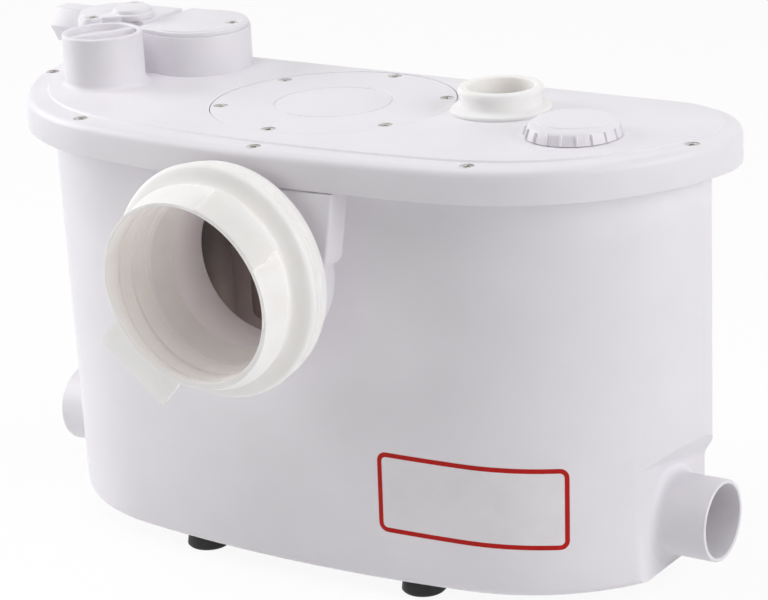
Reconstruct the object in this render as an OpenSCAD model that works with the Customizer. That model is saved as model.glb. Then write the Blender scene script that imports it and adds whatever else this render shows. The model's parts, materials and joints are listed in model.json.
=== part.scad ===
// Macerator toilet pump: a D-shaped tank under a rimmed lid, with a sealed motor hung
// from the round access cover, a cutter in a slotted basket, a spiral pump casing and a
// discharge line that leaves through a flap valve on the lid.
// Millimetres, +Z up, front along -Y. The origin is on the floor below the middle of the tank.

/* [Outline] */
// Half width of the raised lid platform
plat_half = 186; // [176:1:200]
// Front edge of the platform, ahead of the origin
plat_front = 88; // [86:1:94]
// Back edge of the platform, behind the origin
plat_back = 50; // [48:1:58]
// Radius of the two wide end curves
end_r = 104; // [98:1:105]
// Widest place of the end curves, behind the origin
end_cy = 22; // [20:0.5:24]
// Radius of the two back corners of the platform
back_r = 38; // [28:1:40]

/* [Tank] */
// Height of the tank from its underside to the top of its flange
tank_h = 207.5; // [200:0.5:240]
// Wall thickness of the tank
wall = 3.5; // [3:0.25:4]
// Thickness of the tank floor
floor_t = 4; // [3.5:0.25:6]
// Step from the platform edge in to the tank wall, at the flange
tank_inset = 1.2; // [0.8:0.1:2]
// Step from the platform edge in to the tank wall, at the back
tank_inset_back = 5.5; // [5:0.25:7]
// Extra radius of the tank's two back corners, over the platform's
tank_corner = 6; // [4:0.5:8]
// How much further in the wall stands at the floor, as mould draft
tank_draft = 2.2; // [1:0.1:3]
// Radius of the rounded bottom edge
tank_edge_r = 5; // [4:0.5:6]
// Thickness of the flange that carries the lid
flange_t = 6; // [5:0.5:8]
// Depth of the undercut ends that carry the side spigots, in from the platform's end
cut_depth = 20; // [18:0.5:24]
// Height of the undercut above the tank's underside, at its inner corner
cut_h = 51.5; // [50:0.5:60]
// Slope of the undercut's ceiling, down towards the back
cut_slope = 10; // [0:1:12]

/* [Side spigots] */
// Outside diameter of a side spigot
spigot_d = 40; // [36:1:42]
// Wall of a side spigot
spigot_wall = 2; // [1.5:0.25:3]
// Length of a side spigot, from the undercut wall
spigot_len = 27.5; // [22:0.5:32]
// Height of the spigot axis above the tank's underside
spigot_z = 26.5; // [25:0.5:27]
// Radius of the flare at the root
spigot_flare = 5; // [3:0.5:6]

/* [Toilet inlet] */
// Sideways place of the inlet axis
inlet_x = -9; // [-14:1:0]
// Drop of the inlet axis below the lower edge of the lid
inlet_drop = 43; // [43:0.5:50]
// Outside diameter of the stub on the tank
stub_d = 84; // [78:1:85]
// Wall of the stub
stub_wall = 4; // [3:0.5:5]
// Reach of the flat pad to the right of the inlet axis
pad_right = 55; // [50:1:60]
// Reach of the flat pad to the left of the inlet axis
pad_left = 43; // [42:1:50]
// Diameter of the round boss behind the stub
boss_d = 100; // [90:1:106]
// Height of the pad's lower edge above the inlet axis
pad_low = 4; // [0:1:10]
// Depth of the pad, out from the tank wall
pad_t = 12; // [10:0.5:13]
// How far the stub reaches past the pad
stub_len = 14; // [12:1:16]

/* [Sleeve] */
// Outside diameter of the rear collar
collar_d = 114; // [108:1:117]
// Length of the rear collar
collar_len = 17.5; // [16:0.5:18]
// Gap between the front of the lid and the sleeve
collar_gap = 4.5; // [4:0.5:6]
// Width of the groove between the two collars
groove_w = 7; // [5:0.5:8]
// Bore of the sealing land that grips the pan outlet
land_d = 86.4; // [86:0.2:87]
// Length of the sealing land
land_len = 12; // [10:0.5:13]
// Bore of the sleeve mouth
mouth_d = 88; // [87.5:0.5:90]
// Length of the mouth past the sealing land, on the axis
mouth_len = 18.4; // [16:0.2:19]
// Tilt of the mouth plane, its lower edge set back
mouth_tilt = 6; // [4:0.2:9]
// Rubber thickness at the lip
lip_t = 1.8; // [1.6:0.1:2.6]
// Distance of the upper tab's flat end from the axis
tab_reach = 53; // [50:0.5:56]
// Distance of the lower tab's flat end from the axis
tab_reach_low = 58; // [55:0.5:62]
// Width of a tab
tab_w = 44; // [38:1:50]
// Thickness of a tab along the axis
tab_t = 9; // [7:0.5:10]
// Turn of the upper tab, up from the right
tab_turn = 43; // [38:1:50]
// Turn of the lower tab, down from the left
tab_turn_low = 51; // [44:1:56]

/* [Lid] */
// Overhang of the lid past the platform, at the front and ends
lid_over = 12; // [11.5:0.25:14]
// Overhang of the lid past the platform, at the back
lid_over_back = 3; // [2.5:0.25:4]
// Thickness of the lid at its rim
rim_t = 4.8; // [4.5:0.1:6]
// Height of the platform above the rim
plat_rise = 1.2; // [0.8:0.1:1.6]
// Depth of the skirt below the gasket face
skirt_h = 12; // [10:0.5:14]
// Thickness of the skirt
skirt_t = 2.5; // [2:0.1:2.6]
// Radius of the rounded shoulder
shoulder_r = 4.5; // [3:0.5:4.5]
// Thickness of the lid gasket
gasket_t = 2; // [1.5:0.25:3]
// Distance of the rim screws out from the platform edge
rim_screw_out = 5.5; // [5:0.25:6]
// Angle below level of the outer rim screws, on the end curves
rim_screw_side = 18; // [12:1:22]
// Angle below level of the front rim screws, on the end curves
rim_screw_front = 75; // [68:1:80]

/* [Access cover] */
// Place of the cover and motor axis, sideways
cover_x = -9; // [-12:1:-6]
// Place of the cover and motor axis, back from the origin
cover_y = -13; // [-15:1:-11]
// Diameter of the cover
cover_d = 121; // [118:1:124]
// Thickness of the cover
cover_t = 3.5; // [3:0.25:4]
// Distance of the cover screws in from the cover's edge
cover_screw_in = 5; // [4.5:0.25:5.5]
// Number of cover screws
cover_screws = 6; // [4:1:8]
// Diameter of the ring groove in the cover
cover_ring_d = 58; // [50:1:70]

/* [Motor] */
// Gap round the motor can in the access hole
can_gap = 3.45; // [2.5:0.05:6]
// Height of the motor can
can_h = 100; // [96:1:108]
// Wall of the motor can
can_wall = 3; // [2.5:0.25:3.5]
// Height of the stator and rotor stacks
stack_h = 42; // [36:1:44]
// Width of the stator ring
stator_w = 19.2; // [17:0.2:21]
// Air gap between rotor and stator
air_gap = 0.6; // [0.4:0.1:1]
// Height of each winding head
winding_h = 11; // [8:0.5:12]
// Diameter of the shaft
shaft_d = 10; // [9:0.5:12]
// Outside diameter of a ball bearing
bearing_d = 22; // [21:0.5:26]
// Height of a ball bearing
bearing_h = 8; // [6:0.5:9]

/* [Grinder and pump] */
// Outside diameter of the grinding basket
basket_d = 100; // [94:1:104]
// Height of the grinding basket
basket_h = 50; // [44:1:54]
// Wall of the basket
basket_wall = 2.2; // [1.8:0.1:3]
// Number of slots round the basket
basket_slots = 20; // [16:1:24]
// Tip diameter of the cutter blade
blade_d = 78; // [70:1:84]
// Width of the cutter blade
blade_w = 16; // [14:1:20]
// Thickness of the cutter blade
blade_t = 3; // [2.5:0.25:4]
// Width of the tooth at each tip of the blade
tooth_w = 5; // [4:0.5:7]
// Height of that tooth above the blade
tooth_h = 8; // [6:0.5:9]
// Diameter of the impeller
impeller_d = 56; // [50:1:60]
// Number of impeller vanes
vanes = 5; // [4:1:7]
// Height of the impeller vanes
vane_h = 9; // [8:0.5:11]
// Wall of the pump casing
casing_wall = 4; // [3:0.5:5]
// Height of the pump casing
casing_h = 31; // [29:0.5:34]
// Growth of the spiral over one turn
spiral_grow = 9; // [6:0.5:10]
// Diameter of the suction eye
eye_d = 32; // [28:1:36]

/* [Discharge] */
// Outside diameter of the discharge pipe
pipe_d = 17; // [16:0.5:17.5]
// Wall of the discharge pipe
pipe_wall = 2; // [1.5:0.25:2.5]
// Bend radius of the elbow at the foot of the riser
elbow_r = 18; // [14:0.5:20]
// Gap between the riser and the undercut wall
riser_gap = 3; // [2.5:0.25:5]
// Gap between the riser and the back wall, at the flange
riser_back_gap = 5.5; // [5:0.25:7]
// Middle of the valve lobe, out from the riser
valve_out = 13.5; // [12:0.5:15]
// Middle of the valve lobe, ahead of the riser
valve_fwd = 12; // [10:0.5:13]
// Radius of the valve lobe
valve_r = 18.5; // [17.5:0.25:19]
// Height of the valve housing above the lid
valve_h = 24.5; // [23.5:0.25:28]
// Thickness of the two-screw cover plate
plate_t = 3; // [2.5:0.25:4]
// Distance between the two screws of the cover plate
plate_pitch = 35; // [33:0.5:36]
// Width of the hexagonal outlet across its flats
hex_af = 18; // [16:0.5:19]
// Reach of the outlet past the platform's end
outlet_reach = 17; // [12:1:22]
// Diameter of the outlet bore
outlet_bore = 9; // [8:0.5:9.5]

/* [Control box] */
// Middle of the round lobe, in from the riser
box_in = 34; // [33:0.5:36]
// Middle of the round lobe, ahead of the riser
box_fwd = 1.5; // [1:0.25:2.5]
// Radius of the round lobe
box_r = 27; // [26:0.25:27.5]
// Step in of the box's straight front from the round
box_front_in = 2.5; // [2:0.25:5]
// Step in of the box's straight back from the round
box_back_in = 1.5; // [1:0.25:4]
// Height of the box above the lid, with its cover
box_h = 23.5; // [22.5:0.5:28]
// Thickness of the box walls
box_wall = 2.2; // [1.8:0.1:3]
// Thickness of the box cover
box_cover_t = 3.2; // [2.5:0.1:4]
// Outside diameter of the air bell below the box
bell_d = 18; // [16:0.5:19]
// Length of the air bell below the lid
bell_len = 140; // [100:1:150]
// Travel of the pressure plunger
plunger_travel = 2; // [1:0.25:2.5]

/* [Top inlet, cap and vent] */
// Gap between the seat of the access cover and the hole of the top inlet sleeve
top_gap = 4.7; // [3:0.1:7]
// Place of the top inlet sleeve, behind the origin
top_y = 4.5; // [2:0.5:6]
// Bore of the top inlet sleeve
top_bore = 32.4; // [31:0.2:34]
// Height of the top inlet sleeve above the lid
top_h = 12.6; // [11:0.2:18]
// Distance of the screw cap's axis in from the platform's end
cap_end = 55; // [52:0.5:58]
// Place of the screw cap, behind the origin
cap_y = -23; // [-25:0.5:-20]
// Diameter of the screw cap
cap_d = 47.4; // [46:0.2:50]
// Height of the screw cap above the lid
cap_h = 9.2; // [9:0.2:12]
// Number of grip ribs round the cap
cap_ribs = 19; // [16:1:28]
// Distance of the vent tube's axis in from the platform's end
vent_end = 44.5; // [43:0.5:46]
// Place of the vent tube, behind the origin
vent_y = -24; // [-25:0.5:-24]
// Outside diameter of the vent tube
vent_d = 41; // [40:0.5:42]
// Height of the vent tube above the lid
vent_h = 26.5; // [24:0.5:30]
// Wall of the vent tube
vent_wall = 2.6; // [2.2:0.1:3.2]
// Turn of the grip bar on the vent plug, from level
vent_bar_turn = 62; // [40:1:90]

/* [Feet] */
// Height of a foot
foot_h = 8.5; // [8:0.5:12]
// Diameter of a foot
foot_d = 22; // [20:0.5:26]
// Distance of the feet in from the platform's end
foot_end = 121.5; // [106:0.5:128]
// Distance of the front feet in from the platform's front
foot_front_in = 23; // [22:0.5:26]
// Distance of the back feet in from the platform's back
foot_back_in = 24; // [23:0.5:28]

/* [Fits] */
// Radial gap of a running fit
run_fit = 0.05; // [0.02:0.01:0.1]
// Gap between fixed pieces that slip together
slip = 0.2; // [0.1:0.05:0.3]
// Gap between moulded covers and their seats
reveal = 0.4; // [0.3:0.05:0.6]
// Shank diameter of the screws
screw_d = 3.6; // [3:0.1:3.8]
// Head diameter of the screws
screw_head_d = 6.8; // [6.4:0.1:7]
// Head height of the screws
screw_head_h = 1.8; // [1.5:0.1:2.2]
// Width and depth of the cross in a screw's head
screw_slot = 0.9; // [0.7:0.1:1.2]

/* [Hidden] */
$fn = 64;
eps = 0.5;
white = [0.93, 0.93, 0.95];
soft_white = [0.94, 0.93, 0.91];
steel = [0.62, 0.63, 0.65];
black = [0.07, 0.07, 0.08];

// Places that hang on the outline
cover_screw_d = cover_d - 2 * cover_screw_in;
cut_half = plat_half - cut_depth;
riser_x = cut_half - wall - riser_gap - pipe_d / 2;
riser_y = plat_back - tank_inset_back - wall - riser_back_gap - pipe_d / 2;
valve_x = riser_x + valve_out;
valve_y = riser_y - valve_fwd;
box_x = riser_x - box_in;
box_y = riser_y - box_fwd;
outlet_end = plat_half + outlet_reach;
top_neck_r = top_bore / 2 + 3;
top_x = cover_x + cover_d / 2 + reveal + top_gap + top_neck_r + slip;
cap_x = plat_half - cap_end;
vent_x = vent_end - plat_half;
foot_x = plat_half - foot_end;
foot_front = plat_front - foot_front_in;
foot_back = plat_back - foot_back_in;

// Heights, from the floor up
tank_z = foot_h;
rim_z = tank_z + tank_h;
seat_z = rim_z + gasket_t;
rim_top = seat_z + rim_t;
lid_z = rim_top + plat_rise;
skirt_z = seat_z - skirt_h;
plate_low = lid_z - cover_t;
flange_z = rim_z - flange_t;
floor_z = tank_z + floor_t;
spigot_axis = tank_z + spigot_z;
inlet_z = skirt_z - inlet_drop;
collar_y = plat_front + lid_over + collar_gap;

// Outline: a bowed front that runs into two wide end curves, and a straight back
end_cx = plat_half - end_r;
bow_a = plat_front + end_cy;
bow_r = (end_cx * end_cx + bow_a * bow_a - end_r * end_r) / (2 * (bow_a - end_r));
bow_phi = asin(end_cx / (bow_r - end_r));
flange_out = lid_over - skirt_t - reveal;

function arc(c, r, a0, a1, n) =
    [for (i = [0 : n]) let (a = a0 + (a1 - a0) * i / n) [c[0] + r * cos(a), c[1] + r * sin(a)]];
function flip(p) = [for (i = [len(p) - 1 : -1 : 0]) [-p[i][0], p[i][1]]];
// Half of the outline, out from the platform by o at the front and ends, and by b at the back,
// with the back corner's radius larger by c
function half_outline(o, b, c) =
    let (r = end_r + o,
         rb = back_r + (o + b) / 2 + c,
         yb = plat_back + b,
         ps = asin((yb - rb - end_cy) / r),
         xe = end_cx + r * cos(ps))
    concat(
        [for (i = [1 : 4]) let (a = -90 + bow_phi * i / 5)
            [(bow_r + o) * cos(a), bow_r - plat_front + (bow_r + o) * sin(a)]],
        arc([end_cx, end_cy], r, bow_phi - 90, ps, 14),
        arc([xe - rb, yb - rb], rb, 90 / 7, 90, 6));
function outline(o, b, c) =
    concat([[0, -plat_front - o]], half_outline(o, b, c), flip(half_outline(o, b, c)));
// Solid through a stack of outline rings, each [z, o, b, c]
module loft(rings) {
    stack = [for (r = rings) [r[0], outline(r[1], r[2], r[3])]];
    n = len(stack[0][1]);
    m = len(stack);
    polyhedron(
        points = [for (s = stack) for (p = s[1]) [p[0], p[1], s[0]]],
        faces = concat(
            [[for (j = [0 : n - 1]) j]],
            [[for (j = [n - 1 : -1 : 0]) (m - 1) * n + j]],
            [for (i = [0 : m - 2]) for (j = [0 : n - 1])
                [i * n + j, (i + 1) * n + j, (i + 1) * n + (j + 1) % n]],
            [for (i = [0 : m - 2]) for (j = [0 : n - 1])
                [i * n + j, (i + 1) * n + (j + 1) % n, i * n + (j + 1) % n]]),
        convexity = 6);
}
module slab(z0, z1, o, b, c) {
    translate([0, 0, z0])
        linear_extrude(z1 - z0)
            polygon(outline(o, b, c));
}
module tube(r1, r0, h) {
    difference() {
        cylinder(r = r1, h = h);
        translate([0, 0, -eps])
            cylinder(r = r0, h = h + 2 * eps);
    }
}
// Concave flare round a tube of radius r that stands on z = 0
module flare(r, f) {
    rotate_extrude()
        difference() {
            translate([r - 0.4, 0])
                square([f + 0.4, f]);
            translate([r + f, f])
                circle(r = f);
        }
}
// Cross-head screw: the head's top is on z = 0 and the shank points down
module screw(len) {
    difference() {
        union() {
            translate([0, 0, -screw_head_h])
                cylinder(d = screw_head_d, h = screw_head_h);
            translate([0, 0, -len])
                cylinder(d = screw_d, h = len);
        }
        for (a = [0, 90])
            rotate(a)
                translate([-screw_d / 2, -screw_slot / 2, -screw_slot])
                    cube([screw_d, screw_slot, 2 * screw_slot]);
    }
}
module screw_hole(len) {
    translate([0, 0, -screw_head_h])
        cylinder(d = screw_head_d + 2 * slip, h = screw_head_h + eps);
    translate([0, 0, -len - slip])
        cylinder(d = screw_d + 2 * slip, h = len + slip);
}

// Places of the rim screws
rim_screws = concat(
    [[0, -plat_front - rim_screw_out]],
    [for (s = [-1, 1]) for (a = [rim_screw_side, rim_screw_front])
        [s * (end_cx + (end_r + rim_screw_out) * cos(a)), end_cy - (end_r + rim_screw_out) * sin(a)]]);
rim_screw_len = rim_t + gasket_t + flange_t - 1;
ledge_t = plate_low - seat_z;
cover_screw_len = cover_t + ledge_t - 0.3;
ledge_r = cover_d / 2 + 4;
seal_t = 1;
access_d = cover_screw_d - screw_d - 8.5;
can_d = access_d - 2 * can_gap;
foot_boss = 3;
feet = [for (sx = [-1, 1]) for (y = [-foot_front, foot_back]) [sx * foot_x, y]];

// Motor and pump heights
can_top = plate_low;
can_z = can_top - can_h;
can_base_t = 5;
low_bearing_z = can_z + can_base_t + 2;
hub_h = bearing_h + 4;
stack_z = low_bearing_z + hub_h + winding_h + 2;
top_bearing_z = can_top - bearing_h - 4;
casing_z = floor_z;
casing_top = casing_z + casing_h;
basket_z = casing_top;
blade_z = basket_z + 12;
impeller_z = casing_z + casing_wall + 1.5;
shaft_z = impeller_z - 0.5;
shaft_top = top_bearing_z + bearing_h - 0.5;
spiral_r = impeller_d / 2 + 5;
pipe_z = casing_z + casing_wall + pipe_d / 2;

// Discharge
pipe_bore = pipe_d / 2 - pipe_wall;
socket_r = pipe_d / 2 + 2;
socket_h = 8;
pipe_y = riser_y;
duct_x = cover_x - 30;
elbow_x = -riser_x + elbow_r;
riser_z = pipe_z + elbow_r;
riser_top = lid_z + 1.5;
valve_top = lid_z + valve_h;
valve_wall = 2.5;
valve_seat_z = lid_z + 3.5;
chamber_top = valve_top - valve_wall;
outlet_z = chamber_top - outlet_bore / 2 - 0.3;
outlet_y = valve_y + 5;
flap_r = pipe_bore + 1.2;
flap_side = flap_r + 0.5;
pin_d = 2.4;
flap_t = 2;
pin_y = riser_y + flap_r + 2.2;
knuckle_r = pin_d / 2 + 1.1;
pin_z = valve_seat_z + knuckle_r + 0.4;
lug_x = flap_r - 1.8;
lug_t = 2.4;
neck_end = riser_x - flap_side - valve_wall;
pin_len = lug_t + lug_x + flap_side + valve_wall - 0.7;
knuckle_len = lug_x + flap_side - 0.6;
nipple_in = valve_wall + 1;
plate_screw_len = plate_t + 8;
neck_front = valve_y - 6;
neck_back = pin_y + knuckle_r + 0.6 + valve_wall;

// Control box
box_top = lid_z + box_h;
box_rim = box_top - box_cover_t;
switch_r = 9;
switch_z = lid_z + 2;
switch_h = 9;
plunger_r = 2.5;
capacitor_r = 6.5;
gland_z = lid_z + 11;
gland_r = 4.5;

module mirrored() {
    children();
    mirror([1, 0, 0])
        children();
}
// Prism that undercuts both ends of the tank, moved inwards by t
module undercut(t) {
    mirrored()
        translate([0, 0, tank_z + cut_h])
            rotate([90 - cut_slope, 0, 0])
                translate([0, 0, -plat_back - 40])
                    linear_extrude(plat_front + plat_back + 80)
                        polygon([
                            [cut_half - t, -2 * cut_h],
                            [plat_half + 60, -2 * cut_h],
                            [plat_half + 60, plat_half + 60 - cut_half + t * 1.414],
                            [cut_half - t, t * 0.414]]);
}
// Places a child on the inlet axis: its z runs out of the front, its y runs up
module on_inlet(y) {
    translate([inlet_x, -y, inlet_z])
        rotate([90, 0, 0])
            children();
}

// Tank

tank_front = plat_front - tank_inset;
pad_y = tank_front + pad_t;
stub_end = pad_y + stub_len;
land_y = stub_end + slip;
mouth_y = land_y + land_len + mouth_len;
tank_low = -tank_inset - tank_draft;
tank_low_back = -tank_inset_back - tank_draft;

module tank_shell() {
    e = tank_edge_r;
    k = tank_corner;
    back_out = lid_over_back - skirt_t - reveal;
    difference() {
        loft([
            [tank_z, tank_low - e, tank_low_back - e, k],
            [tank_z + 0.13 * e, tank_low - e / 2, tank_low_back - e / 2, k],
            [tank_z + 0.5 * e, tank_low - 0.13 * e, tank_low_back - 0.13 * e, k],
            [tank_z + e, tank_low, tank_low_back, k],
            [flange_z, -tank_inset, -tank_inset_back, k],
            [flange_z, flange_out, back_out, 0],
            [rim_z, flange_out, back_out, 0]]);
        undercut(0);
    }
}
module tank_hollow() {
    e = max(tank_edge_r - wall, 1);
    k = tank_corner;
    difference() {
        loft([
            [floor_z, tank_low - wall - e, tank_low_back - wall - e, k],
            [floor_z + e, tank_low - wall, tank_low_back - wall, k],
            [rim_z + eps, -tank_inset - wall, -tank_inset_back - wall, k]]);
        undercut(wall);
    }
}
module inlet_pad() {
    h = skirt_z - reveal - inlet_z;
    r = 8;
    deep = pad_y - tank_front + wall + 3;
    on_inlet(pad_y - deep)
        linear_extrude(deep)
            union() {
                translate([-pad_left, pad_low + r])
                    square([pad_left + pad_right, h - pad_low - r]);
                translate([-pad_left + r, pad_low])
                    square([pad_left + pad_right - 2 * r, 2 * r]);
                for (x = [r - pad_left, pad_right - r])
                    translate([x, pad_low + r])
                        circle(r = r);
                intersection() {
                    circle(d = boss_d);
                    translate([-boss_d, -boss_d])
                        square([2 * boss_d, boss_d + h]);
                }
            }
}
module tank() {
    color(white)
        difference() {
            union() {
                difference() {
                    tank_shell();
                    tank_hollow();
                }
                difference() {
                    inlet_pad();
                    tank_hollow();
                }
                for (f = feet)
                    translate([f[0], f[1], floor_z - 1])
                        cylinder(d = screw_d + 7, h = foot_boss + 1);
            }
            on_inlet(tank_front - wall - 12)
                cylinder(d = stub_d - 2 * stub_wall, h = stub_end - tank_front + wall + 20);
            mirrored()
                translate([cut_half - wall - 4, 0, spigot_axis])
                    rotate([0, 90, 0])
                        cylinder(d = spigot_d - 2 * spigot_wall, h = spigot_len + wall + 10);
            for (f = feet)
                translate([f[0], f[1], tank_z - eps])
                    cylinder(d = screw_d + 2 * slip, h = floor_t + foot_boss - 0.6 + eps);
            for (p = rim_screws)
                translate([p[0], p[1], flange_z - eps])
                    cylinder(d = screw_d + 2 * slip, h = flange_t + 2 * eps);
        }
}
module inlet_stub() {
    color(white)
        on_inlet(pad_y)
            tube(stub_d / 2, stub_d / 2 - stub_wall, stub_len);
}
module spigot() {
    rotate([0, 90, 0])
        difference() {
            union() {
                cylinder(d = spigot_d, h = spigot_len);
                flare(spigot_d / 2, spigot_flare);
            }
            translate([0, 0, -eps])
                cylinder(d = spigot_d - 2 * spigot_wall, h = spigot_len + 2 * eps);
        }
}
module left_spigot() {
    color(white)
        mirror([1, 0, 0])
            translate([cut_half, 0, spigot_axis])
                spigot();
}
module right_spigot() {
    color(white)
        translate([cut_half, 0, spigot_axis])
            spigot();
}
module feet_set() {
    color(black)
        for (f = feet)
            translate([f[0], f[1], 0])
                difference() {
                    rotate_extrude()
                        polygon([
                            [0, 0], [foot_d / 2 - 1.2, 0], [foot_d / 2, 1.2],
                            [foot_d / 2 - 1, foot_h], [0, foot_h]]);
                    translate([0, 0, -eps])
                        cylinder(d = screw_d + 2 * slip, h = foot_h + 2 * eps);
                    translate([0, 0, -eps])
                        cylinder(d = screw_head_d + 2 * slip, h = foot_h - 4 + eps);
                }
}
module foot_screws() {
    color(steel)
        for (f = feet)
            translate([f[0], f[1], foot_h - 4 - screw_head_h])
                rotate([180, 0, 0])
                    screw(screw_head_h + 4 + floor_t + foot_boss - 1);
}

// Lid

spout_r = 18.5;
spout_wall = 3.5;
spout_h = cap_h - 4.7;
top_flange_r = top_bore / 2 + 8;
vent_floor = 4;
vent_hole_d = 14;

rib_in = -tank_inset - wall - 2;
rib_in_back = -tank_inset_back - wall - 2;
module lid_shell() {
    s = shoulder_r;
    difference() {
        loft(concat(
            [[skirt_z, lid_over, lid_over_back, 0]],
            [for (a = [0, 30, 60, 90]) [
                rim_top - s + s * sin(a),
                lid_over - s + s * cos(a),
                lid_over_back - (s - s * cos(a)) / 3,
                0]],
            [[rim_top, 0.9, 0.4, 0], [lid_z, 0, 0, 0]]));
        slab(skirt_z - eps, seat_z, lid_over - skirt_t, lid_over_back - skirt_t, 0);
        difference() {
            slab(seat_z - eps, plate_low, rib_in, rib_in_back, tank_corner);
            translate([cover_x, cover_y, seat_z - 2 * eps])
                cylinder(r = ledge_r, h = ledge_t + 4 * eps);
        }
    }
}
module lid() {
    color(white)
        difference() {
            union() {
                lid_shell();
                translate([cap_x, cap_y, lid_z - 1])
                    cylinder(r = spout_r, h = spout_h + 1);
            }
            translate([cover_x, cover_y, plate_low])
                cylinder(d = cover_d + 2 * reveal, h = cover_t + eps);
            translate([cover_x, cover_y, seat_z - 1])
                cylinder(d = access_d, h = cover_t + ledge_t + 2);
            translate([cover_x, cover_y, plate_low - seal_t])
                cylinder(r = access_d / 2 + 3.2, h = seal_t + eps);
            for (i = [0 : cover_screws - 1])
                translate([cover_x, cover_y, seat_z - eps])
                    rotate(30 + 360 * i / cover_screws)
                        translate([cover_screw_d / 2, 0, 0])
                            cylinder(d = screw_d + 2 * slip, h = ledge_t + 2 * eps);
            translate([vent_x, vent_y, seat_z - 1])
                cylinder(d = vent_hole_d, h = rim_t + plat_rise + 2);
            translate([cap_x, cap_y, seat_z - 1])
                cylinder(r = spout_r - spout_wall, h = rim_t + plat_rise + spout_h + 2);
            translate([top_x, top_y, seat_z - 1])
                cylinder(r = top_neck_r + slip, h = rim_t + plat_rise + 2);
            translate([-riser_x, riser_y, seat_z - 1])
                cylinder(d = pipe_d + 2 * slip, h = rim_t + plat_rise + 2);
            translate([-box_x, box_y, seat_z - 1])
                cylinder(d = 6, h = rim_t + plat_rise + 2);
            for (p = rim_screws)
                translate([p[0], p[1], rim_top - 0.4])
                    screw_hole(rim_screw_len);
        }
}
module lid_gasket() {
    color(black)
        difference() {
            slab(rim_z, seat_z, flange_out - 0.5, lid_over_back - skirt_t - reveal, 0);
            slab(rim_z - eps, seat_z + eps, -tank_inset - wall, -tank_inset_back - wall, tank_corner);
            for (p = rim_screws)
                translate([p[0], p[1], rim_z - eps])
                    cylinder(d = screw_d + 2 * slip, h = gasket_t + 2 * eps);
        }
}
module lid_screws() {
    color(steel)
        for (p = rim_screws)
            translate([p[0], p[1], rim_top - 0.4])
                screw(rim_screw_len);
}

// Access cover and motor

module on_motor(z) {
    translate([cover_x, cover_y, z])
        children();
}
can_r = can_d / 2;
bore_r = can_r - can_wall;
rotor_d = 2 * (bore_r - stator_w - air_gap);
module access_cover() {
    color(white)
        on_motor(0)
            difference() {
                union() {
                    translate([0, 0, plate_low])
                        cylinder(d = cover_d, h = cover_t);
                    translate([0, 0, plate_low - 4])
                        tube(bore_r - slip, bore_r - slip - 3, 4 + eps);
                    translate([0, 0, top_bearing_z])
                        cylinder(r = bearing_d / 2 + 4, h = plate_low - top_bearing_z + eps);
                }
                translate([0, 0, top_bearing_z - eps])
                    cylinder(r = bearing_d / 2 + run_fit, h = bearing_h + eps);
                translate([0, 0, lid_z - 0.6])
                    tube(cover_ring_d / 2 + 0.6, cover_ring_d / 2 - 0.6, 0.6 + eps);
                for (i = [0 : cover_screws - 1])
                    rotate(30 + 360 * i / cover_screws)
                        translate([cover_screw_d / 2, 0, lid_z - 0.3])
                            screw_hole(cover_screw_len);
            }
}
module access_seal() {
    color(black)
        on_motor(plate_low - seal_t)
            tube(access_d / 2 + 3.2 - slip, access_d / 2 + 0.8, seal_t);
}
module access_screws() {
    color(steel)
        on_motor(lid_z - 0.3)
            for (i = [0 : cover_screws - 1])
                rotate(30 + 360 * i / cover_screws)
                    translate([cover_screw_d / 2, 0, 0])
                        screw(cover_screw_len - 0.3);
}
seal_r = bearing_d / 2;
module motor_can() {
    color(steel)
        on_motor(can_z)
            difference() {
                union() {
                    tube(can_r, bore_r, can_h);
                    cylinder(r = can_r - 1, h = can_base_t);
                    cylinder(r = bearing_d / 2 + 4, h = low_bearing_z - can_z + bearing_h);
                }
                translate([0, 0, low_bearing_z - can_z])
                    cylinder(r = bearing_d / 2 + run_fit, h = bearing_h + eps);
                translate([0, 0, -eps])
                    cylinder(r = seal_r - 1.5, h = can_h / 2);
            }
}
module bearing(z) {
    on_motor(z)
        difference() {
            cylinder(d = bearing_d, h = bearing_h);
            translate([0, 0, -eps])
                cylinder(r = shaft_d / 2 + run_fit, h = bearing_h + 2 * eps);
            for (s = [-eps, bearing_h - 0.6])
                translate([0, 0, s])
                    tube(bearing_d / 2 - 2, shaft_d / 2 + 2, 0.6 + eps);
        }
}
module upper_bearing() {
    color(steel)
        bearing(top_bearing_z);
}
module lower_bearing() {
    color(steel)
        bearing(low_bearing_z);
}
module shaft_seal() {
    color(black)
        on_motor(can_z)
            tube(seal_r - 1.5 - slip, shaft_d / 2 + run_fit, low_bearing_z - can_z);
}
stator_r0 = rotor_d / 2 + air_gap;
module stator() {
    color(steel)
        on_motor(stack_z)
            difference() {
                tube(bore_r - run_fit, stator_r0, stack_h);
                for (i = [0 : 11])
                    rotate(i * 30)
                        translate([stator_r0 - 1, -1.6, -eps])
                            cube([10, 3.2, stack_h + 2 * eps]);
            }
}
module windings() {
    color([0.72, 0.42, 0.22])
        for (z = [stack_z - winding_h, stack_z + stack_h])
            on_motor(z)
                rotate_extrude()
                    polygon([
                        [stator_r0 + 3, 0], [bore_r - 5, 0], [bore_r - 3, 2],
                        [bore_r - 3, winding_h - 2], [bore_r - 5, winding_h], [stator_r0 + 3, winding_h]]);
}
module rotor() {
    color(steel)
        on_motor(stack_z)
            tube(rotor_d / 2, shaft_d / 2 + run_fit, stack_h);
}
module shaft() {
    color(steel)
        on_motor(shaft_z)
            cylinder(d = shaft_d, h = shaft_top - shaft_z);
}

// Grinder

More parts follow.
